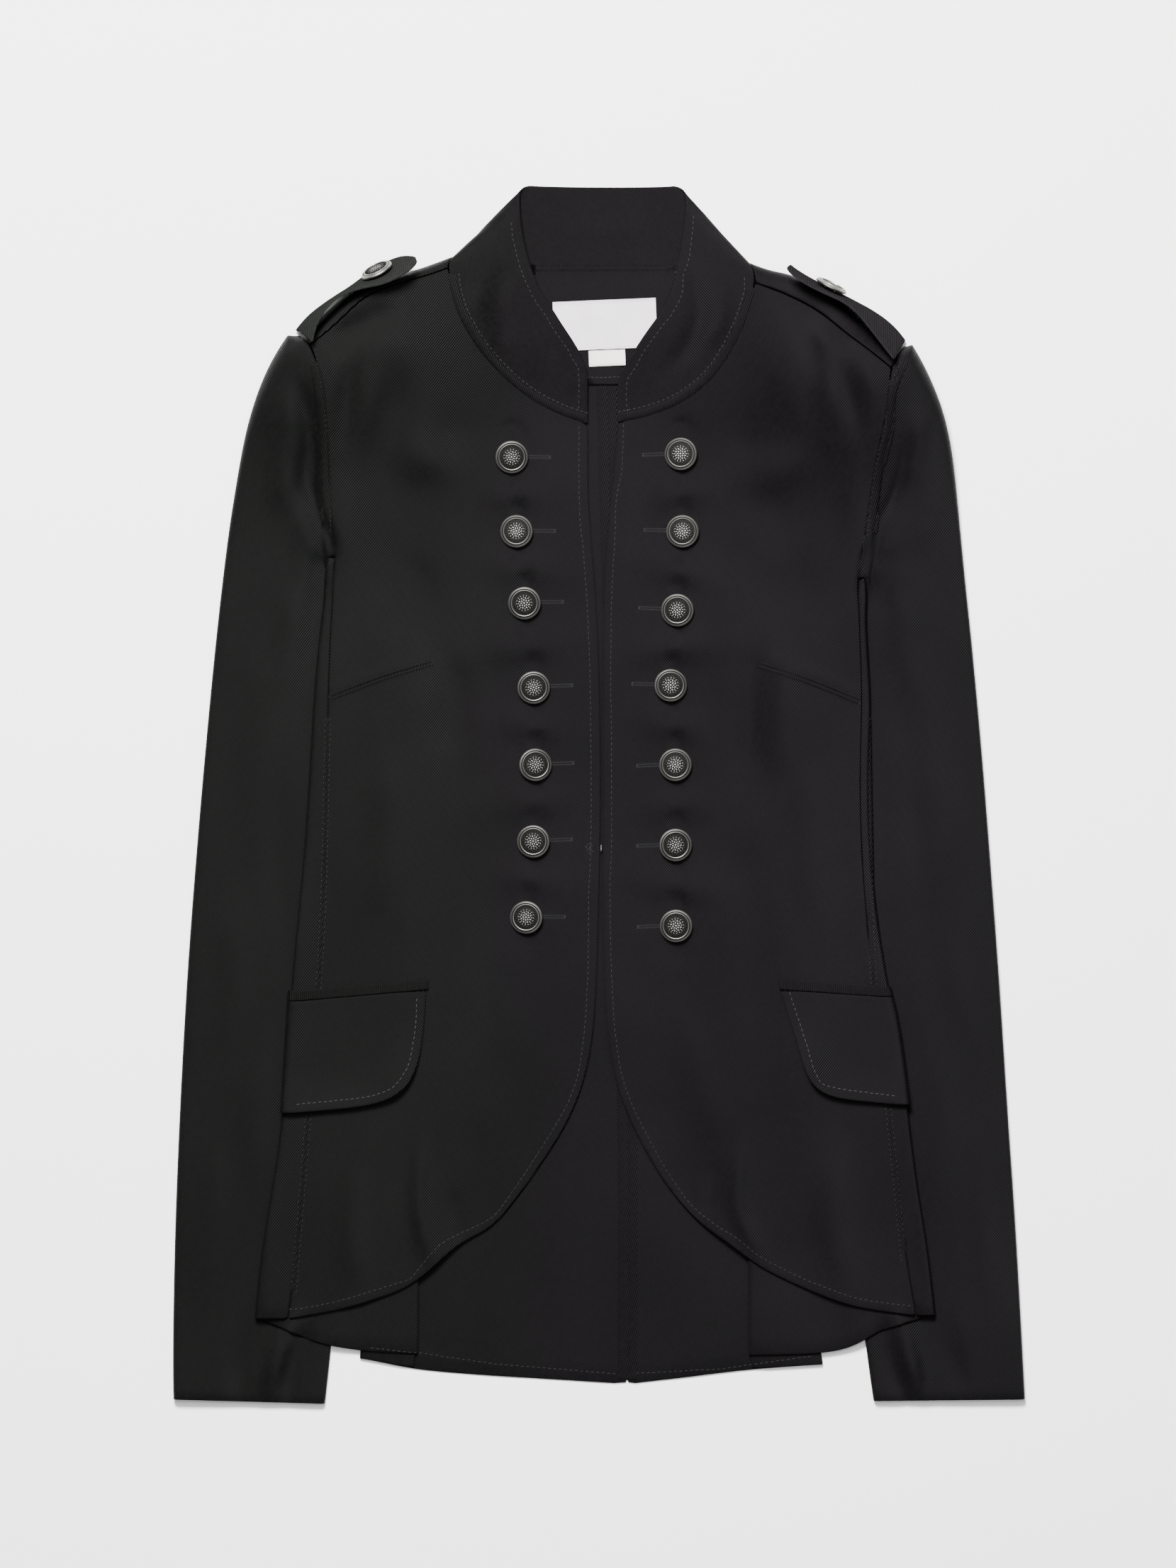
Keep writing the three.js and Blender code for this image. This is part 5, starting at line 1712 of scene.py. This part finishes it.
def hook_thread(surface: Surface) -> list[np.ndarray]:
    """Works the puckered spot of thread that holds the waist hook.

    Args:
        surface: The cloth below.

    Returns:
        Half axes and middle of each stitch.
    """
    draw = random.Random("hook")
    found = []
    for _ in range(14):
        x, y = draw.uniform(-8.6, -3.6), draw.uniform(-34.6, -29.0)
        seat = surface.under(x, y)
        lean = draw.uniform(-0.7, 0.7)
        if seat is not None:
            run = np.array([math.cos(lean), math.sin(lean)])
            found.append(lie_along(seat, run, draw.uniform(1.0, 2.3), 0.45, 0.5, 0.02))
    return found


# Collar and neck

# Runs of the tags: distance up from the middle and height above the surface
LABEL_RUN = ((-14.5, 3.1), (-13.0, 3.25), (0.0, 3.35), (12.0, 3.3), (13.6, 3.5), (14.5, 3.75))
TAB_RUN = (
    (4.5, 2.95), (0.0, 2.95), (-4.1, 3.0), (-4.5, 3.2), (-4.45, 3.5), (-4.0, 3.62), (0.0, 3.5),
    (4.5, 3.4),
)


@dataclass
class NeckInside:
    """The collar, the facing of the back neck, the bare label and the size tab."""

    label_turn: float = 2.4
    collar: ClothPanel | None = field(default=None, init=False)
    inner: list[bpy.types.Object] = field(default_factory=list, init=False)

    def build(self, halves: dict[Side, JacketHalf]) -> None:
        """Builds the pieces from the facing up.

        Args:
            halves: The jacket's two halves, already built.
        """
        facing = panel(
            "back_neck_facing",
            levels=4,
            plain_split=True,
            rests_on=("centre_back_right", "centre_back_left"),
        )
        facing.build()
        self.inner = [facing.piece, *(half.panels["centre_back"].piece for half in halves.values())]
        on_facing = Surface(facing.piece)
        rows = [StitchRow(Route(FACING_STITCH), pitch=2.6), StitchRow(Route(NECK_SEAM), pitch=2.8)]
        facing.declare([Sewing("facing_sewing", rows).build(on_facing)])
        backs = Surface(*(half.panels["centre_back"].piece for half in halves.values()))
        seam = SeamRidge("centre_back_seam", Route(CENTRE_SEAM), CENTRE_SEAM_RELIEF, (-2.4, 2.4))
        seam.build(backs)
        turn = self.label_turn
        label = ClothTag(
            "label_satin_tag", "label", LABEL_MIDDLE, 61.0, turn, LABEL_SATIN, Slot.SATIN
        )
        label.build(LABEL_RUN)
        label.stitch(LABEL_THREAD, ((-29.6, 12.6), (29.6, 12.9)), ((-29.4, -13.3), (29.4, -13.1)))
        tab = ClothTag("size_tab_tape", "size_tab", TAB_MIDDLE, 21.6, turn, TAB_TAPE, Slot.TAPE)
        tab.build(TAB_RUN)
        tab.stitch(TAB_THREAD, ((-9.8, 4.0), (9.8, 4.0)))
        self.build_collar(halves)

    def build_collar(self, halves: dict[Side, JacketHalf]) -> None:
        """Builds the collar with its topstitching and seam welts.

        Args:
            halves: The jacket's two halves, whose fronts carry the collar's seam.
        """
        self.collar = panel("collar", turn=80.0, rests_on=("front_right", "front_left"))
        self.collar.build()
        fronts = [half.panels["front"].piece for half in halves.values()]
        surface = Surface(self.collar.piece, *fronts)
        rows, ridges = [], []
        for side in Side:
            seam = Route(COLLAR_SEAM[side])
            rows.append(StitchRow(Route(COLLAR_FREE[side]).beside(-side.value * 5.6)))
            rows.append(StitchRow(seam.beside(-side.value * 6.2), pitch=3.0))
            profile = WELT_LEFT if side is Side.RIGHT else WELT_RIGHT
            ridges.append(SeamRidge(f"collar_{side.word}_welt", seam, profile).build(surface))
        inner = Surface(self.collar.piece, *self.inner)
        neck = SeamRidge("collar_back_seam", Route(COLLAR_BACK_SEAM), NECK_SEAM_RELIEF, (-2.2, 2.2))
        ridges.append(neck.build(inner))
        sewing = Sewing("collar_sewing", rows).build(surface)
        self.collar.declare([*(ridge for ridge in ridges if ridge), sewing])


@dataclass
class ClothTag:
    """A small woven tag sewn in at the neck: a strip bent along a run of heights."""

    name: str
    node: str
    middle: Spot
    width: float
    turn: float
    finish: SatinFinish
    slot: Slot
    columns: int = 44
    thickness: float = 0.3
    piece: bpy.types.Object | None = field(default=None, init=False)
    run: float = field(default=0.0, init=False)

    def in_plan(
        self, across: float | np.ndarray, up: float | np.ndarray
    ) -> tuple[float | np.ndarray, float | np.ndarray]:
        """Turns places on the tag into places in the jacket's plan.

        Args:
            across: Distance across from the tag's middle.
            up: Distance up from it.

        Returns:
            The places across and up.
        """
        lean = math.radians(self.turn)
        return (
            self.middle[0] + across * math.cos(lean) - up * math.sin(lean),
            self.middle[1] + across * math.sin(lean) + up * math.cos(lean),
        )

    def build(self, profile: Line) -> None:
        """Makes the strip.

        Args:
            profile: Its run as distances up from the middle and heights above the surface.
        """
        route = Route(profile)
        self.run = route.length
        count = max(int(route.length / 1.1), 12)
        line = [route.at(d)[0] for d in np.linspace(0, route.length, count + 1)]
        grid = []
        for up, height in line:
            for column in range(self.columns + 1):
                across = (column / self.columns - 0.5) * self.width
                far = abs(across) / (self.width / 2)
                bow = 0.25 * math.sin(across * 0.21 + up * 0.13) + 0.55 * far**6
                sag = -0.25 * (across / self.width) ** 2
                grid.append((across, up + sag, height + self.thickness + bow))
        across, up, height = np.array(grid).T
        x, y = self.in_plan(across, up)
        points = np.stack([x + SHIFT[0], y + SHIFT[1], height], axis=1) * MM
        points[:, 2] += settle(points)
        faces = grid_faces(count + 1, self.columns + 1)
        self.piece = mesh_object(self.name, points, faces, self.finish)
        if self.piece.data.polygons[0].normal.z < 0:
            self.piece.data.flip_normals()
        apply_modifier(self.piece, "SOLIDIFY", thickness=self.thickness * MM, offset=-1.0)
        write_grain(self.piece, -self.turn)
        smooth(self.piece, 50)
        take_up(self.piece, (self.node,))

    def stitch(self, thread: ThreadFinish, *lines: Line) -> None:
        """Args:
            thread: The thread's finish.
            *lines: Each line's points, across and up from the tag's middle.
        """
        rows = []
        for line in lines:
            route = Route(tuple(self.in_plan(*place) for place in line))
            rows.append(StitchRow(route, pitch=2.6, length=1.7, width=0.42, height=0.26))
        sewing = Sewing(f"{self.name}_stitches", rows, thread, self.slot).build(Surface(self.piece))
        flat = (self.width * MM, self.run * MM)
        held = "folded" if self.node == "size_tab" else "laid"


# Buttons and hook

# The domed face that the rosette lies on: height in the middle, fall to its edge, and radius
FACE_HEIGHT = 3.51
FACE_FALL = 0.5
FACE_RADIUS = 6.6


@dataclass(frozen=True)
class Ring:
    """Equal rounded bodies set round a button's face, each leaning away from pointing outwards."""

    count: int
    out: float
    lean: float
    size: tuple[float, float, float]
    offset: float = 0.0
    swings: bool = False

    def bodies(self) -> list[np.ndarray]:
        """Places the ring's bodies; where it swings, every second one leans the other way.

        Returns:
            For each body three half axes and the middle, as rows in metres.
        """
        length, width, height = (extent / 2 for extent in self.size)
        level = FACE_HEIGHT - FACE_FALL * (self.out / FACE_RADIUS) ** 2
        found = []
        for number in range(self.count):
            angle = math.tau * (number + self.offset) / self.count
            run = angle + (-self.lean if self.swings and number % 2 else self.lean)
            rows = (
                (math.cos(run) * length, math.sin(run) * length, 0.0),
                (-math.sin(run) * width, math.cos(run) * width, 0.0),
                (0.0, 0.0, height),
                (math.cos(angle) * self.out, math.sin(angle) * self.out, level),
            )
            found.append(MM * np.array(rows))
        return found


# Petals, leaves and beads, from the middle outwards
ROSETTE = (
    Ring(1, 0.0, 0.0, (1.7, 1.7, 1.0)),
    Ring(8, 1.7, 0.0, (1.9, 1.05, 0.95)),
    Ring(8, 2.95, 0.35, (2.1, 1.05, 0.9), offset=0.5),
    Ring(8, 3.4, -0.5, (1.5, 0.8, 0.85)),
    Ring(16, 4.5, -0.75, (2.0, 0.85, 0.85), swings=True),
    Ring(16, 5.45, 0.75, (1.7, 0.75, 0.8), offset=0.5, swings=True),
    Ring(30, 6.2, 0.9, (0.95, 0.55, 0.75)),
)


@dataclass
class ButtonModel:
    """The jacket's one button: a shank, a bevelled rim, a ring and a rosette of leaves.

    Each step holds a radius, a height and the relief there, from the rim inwards.
    """

    radius: float = 9.75
    shank_radius: float = 3.4
    shank: float = 1.5
    plate: float = 0.8
    under_bevel: Spot = (0.3, 0.12)
    rim_relief: float = 0.4
    under_relief: float = 0.15
    rosette_base: float = 3.2
    rosette_rise: float = 1.2
    rosette_limit: float = 0.46
    steps: tuple[tuple[float, float, float], ...] = (
        (9.62, 2.6, 0.5),
        (9.36, 2.95, 0.62),
        (8.95, 3.2, 0.5),
        (8.62, 3.4, 0.5),
        (8.44, 3.08, 0.02),
        (8.06, 3.08, 0.02),
        (7.88, 3.6, 0.86),
        (7.62, 3.78, 1.0),
        (7.36, 3.64, 0.86),
        (7.16, 2.9, 0.0),
        (6.6, 2.9, 0.02),
        (4.6, 3.1, 0.06),
        (2.2, 3.3, 0.08),
    )

    def model(self) -> tuple[np.ndarray, list[tuple[int, ...]], np.ndarray]:
        """Models the button once, its foot at the origin and its axis up.

        Returns:
            Points in metres, faces, and the relief from 0 in the recesses to 1 on top.
        """
        bpy.ops.object.select_all(action="DESELECT")
        bpy.ops.mesh.primitive_cylinder_add(
            vertices=72,
            radius=self.radius * MM,
            depth=self.plate * MM,
            location=(0, 0, (self.shank + self.plate / 2) * MM),
        )
        disc = bpy.context.object
        bpy.ops.object.transform_apply(location=True)
        bpy.ops.object.mode_set(mode="EDIT")
        self.select_cap(disc, 1)
        radius, height = self.radius, self.shank + self.plate
        for next_radius, next_height, _ in self.steps:
            bpy.ops.mesh.inset(
                thickness=(radius - next_radius) * MM, depth=(next_height - height) * MM
            )
            radius, height = next_radius, next_height
        self.select_cap(disc, -1)
        bevel, drop = self.under_bevel
        bpy.ops.mesh.inset(thickness=bevel * MM, depth=drop * MM)
        bpy.ops.mesh.inset(thickness=(self.radius - bevel - self.shank_radius) * MM, depth=0.0)
        bpy.ops.mesh.extrude_region_move(TRANSFORM_OT_translate={"value": (0, 0, -self.shank * MM)})
        bpy.ops.object.mode_set(mode="OBJECT")
        points = points_of(disc)
        faces = [tuple(p.vertices) for p in disc.data.polygons]
        bpy.data.objects.remove(disc)
        relief = self.relief_of(points)
        more, more_faces = SMALL_BEAD.placed([body for ring in ROSETTE for body in ring.bodies()])
        rise = (more[:, 2] / MM - self.rosette_base) / self.rosette_rise
        rise = np.clip(rise, 0.0, self.rosette_limit)
        count = len(points)
        faces += [tuple(i + count for i in corners) for corners in more_faces]
        return np.concatenate([points, more]), faces, np.concatenate([relief, rise])

    def select_cap(self, disc: bpy.types.Object, way: int) -> None:
        """Selects only one flat end face, in edit mode.

        Args:
            disc: The button under work.
            way: 1 for the end that looks up, -1 for the one that looks down.
        """
        bpy.ops.mesh.select_all(action="DESELECT")
        work = bmesh.from_edit_mesh(disc.data)
        work.faces.ensure_lookup_table()
        caps = [face for face in work.faces if face.normal.z * way > 0.9 and len(face.verts) > 8]
        max(caps, key=lambda face: face.calc_center_median().z * way).select_set(True)
        bmesh.update_edit_mesh(disc.data)

    def relief_of(self, points: np.ndarray) -> np.ndarray:
        """Works out the relief of the disc's points from their distance to the axis.

        Args:
            points: Points in metres.

        Returns:
            Relief from 0 to 1.
        """
        out = np.hypot(points[:, 0], points[:, 1]) / MM
        radii = [0.0, *(step[0] for step in reversed(self.steps)), self.radius]
        values = [self.steps[-1][2], *(step[2] for step in reversed(self.steps)), self.rim_relief]
        relief = np.interp(out, radii, values)
        middle_plane = (self.shank + self.plate / 2) * MM
        return np.where(points[:, 2] < middle_plane, self.under_relief, relief)


# How far each button leans on its shank: degrees across and up
LEANS = {
    "button_right_1": (0.0, -3.0),
    "button_right_2": (-5.0, 1.0),
    "button_right_3": (-5.0, -3.0),
    "button_right_4": (-2.0, -1.0),
    "button_right_5": (5.0, 2.0),
    "button_right_6": (-5.0, 0.0),
    "button_right_7": (-7.5, 1.0),
    "button_left_1": (-7.0, 2.0),
    "button_left_2": (-5.0, 1.0),
    "button_left_3": (-2.0, -2.0),
    "button_left_4": (2.0, 2.0),
    "button_left_5": (-2.0, 2.0),
    "button_left_6": (1.0, 0.0),
    "button_left_7": (-2.0, 0.0),
}


@dataclass
class Buttons:
    """Every button of the jacket, each copied from one model onto its node's seat."""

    model: ButtonModel = field(default_factory=ButtonModel)
    end_slice: float = 0.2

    def build(self) -> None:
        """Copies the model onto each node."""
        points, faces, relief = self.model.model()
        nodes = [node for side in Side for node in BUTTON_NODES[side]]
        for node in (*nodes, "button_strap_right", "button_strap_left"):
            foot, axis = self.seat(node)
            lean = LEANS.get(node, (0.0, 0.0))
            axis = (axis + Vector([math.radians(angle) for angle in (*lean, 0.0)])).normalized()
            draw = random.Random(node)
            turn = draw.uniform(0, math.tau)
            helper = Vector((1, 0, 0)) if abs(axis.x) < 0.8 else Vector((0, 1, 0))
            aside = (helper - axis * helper.dot(axis)).normalized()
            other = axis.cross(aside)
            first = aside * math.cos(turn) + other * math.sin(turn)
            second = axis.cross(first)
            placed = points @ np.array([first, second, axis]) + np.array(foot)
            placed[:, 2] += settle(np.array([foot]))[0]
            piece = mesh_object(f"{node}_metal", placed, faces, SilverFinish())
            layer = piece.data.attributes.new("relief", "FLOAT", "POINT")
            layer.data.foreach_set("value", relief.astype(np.float32))
            smooth(piece, 34)
            take_up(piece, (node,))

    def seat(self, node: str) -> tuple[Vector, Vector]:
        """Finds where a button's foot stands and which way its face looks.

        Args:
            node: The button's node.

        Returns:
            The foot's middle and the axis.
        """
        points = points_of(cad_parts[node])
        middle = (points.min(axis=0) + points.max(axis=0)) / 2
        _, turns = np.linalg.eigh(np.cov((points - points.mean(axis=0)).T))
        axis = turns[:, 0]
        along = (points - middle) @ axis
        out = np.linalg.norm((points - middle) - along[:, None] * axis, axis=1)
        near = self.end_slice * MM
        spans = [out[along < along.min() + near].max(), out[along > along.max() - near].max()]
        if spans[1] > spans[0]:
            axis, along = -axis, -along
        foot = points[along < along.min() + near].mean(axis=0)
        return Vector(foot), Vector(axis)


@dataclass
class WaistHook:
    """The bent wire that closes the waist, in its place on the settled front edge."""

    node: str = "waist_hook"

    def build(self) -> None:
        """Copies the wire, smooths it and gives it its finish."""
        piece = copy_node(self.node, "waist_hook_wire", WireFinish())
        points = points_of(piece)
        points[:, 2] += settle(points.mean(axis=0)[None, :])[0]
        move_points(piece, points)
        smooth(piece, 60)
        take_up(piece, (self.node,))


# Floor, lamps and camera


@dataclass
class Lamp:
    """One soft square lamp aimed at the jacket."""

    name: str
    place: tuple[float, float, float]
    size: float
    power: float

    def build(self) -> None:
        """Adds the lamp."""
        data = bpy.data.lights.new(self.name, "AREA")
        data.shape = "SQUARE"
        data.size = self.size
        data.energy = self.power
        lamp = bpy.data.objects.new(self.name, data)
        bpy.context.scene.collection.objects.link(lamp)
        lamp.location = self.place
        lamp.rotation_euler = (-Vector(self.place)).to_track_quat("-Z", "Y").to_euler()
        lamp.visible_camera = False


@dataclass
class Studio:
    """The pale floor, the lamps and the camera straight above."""

    floor_side: float = 8.0
    distance: float = 5.5
    frame_height: float = 0.929
    middle: Spot = (-6.7, 6.3)
    sensor: float = 36.0
    sky: float = 0.225
    lamps: tuple[Lamp, ...] = (
        Lamp("key", (-0.35, 1.35, 2.2), 0.7, 342.0),
        Lamp("overhead", (0.1, 0.35, 3.0), 1.4, 67.0),
        Lamp("fill", (0.6, -1.8, 1.6), 1.6, 10.0),
    )

    def build(self) -> None:
        """Lays the floor, hangs the lamps and sets the camera."""
        bpy.ops.object.select_all(action="DESELECT")
        bpy.ops.mesh.primitive_plane_add(size=self.floor_side, location=(0, 0, 0))
        floor = bpy.context.object
        floor.name = "pale_floor"
        floor.data.materials.append(WARDROBE.of(FloorFinish()))
        for lamp in self.lamps:
            lamp.build()
        world = bpy.data.worlds.new("studio")
        world.use_nodes = True
        sky = world.node_tree.nodes["Background"]
        sky.inputs["Color"].default_value = (1.0, 1.0, 1.0, 1.0)
        sky.inputs["Strength"].default_value = self.sky
        bpy.context.scene.world = world
        data = bpy.data.cameras.new("camera")
        data.sensor_fit = "VERTICAL"
        data.sensor_height = self.sensor
        data.lens = self.sensor * self.distance / self.frame_height
        camera = bpy.data.objects.new("camera", data)
        bpy.context.scene.collection.objects.link(camera)
        camera.location = spot(*self.middle, self.distance / MM)
        bpy.context.scene.camera = camera


def main() -> None:
    """Builds the jacket from its halves to its buttons, then the studio round it."""
    logging.basicConfig(level=logging.INFO, format="%(name)s: %(message)s")
    halves = {side: JacketHalf(side) for side in Side}
    for half in halves.values():
        half.build()
    NeckInside().build(halves)
    Buttons().build()
    WaistHook().build()
    Studio().build()


if __name__ == "__main__":
    main()
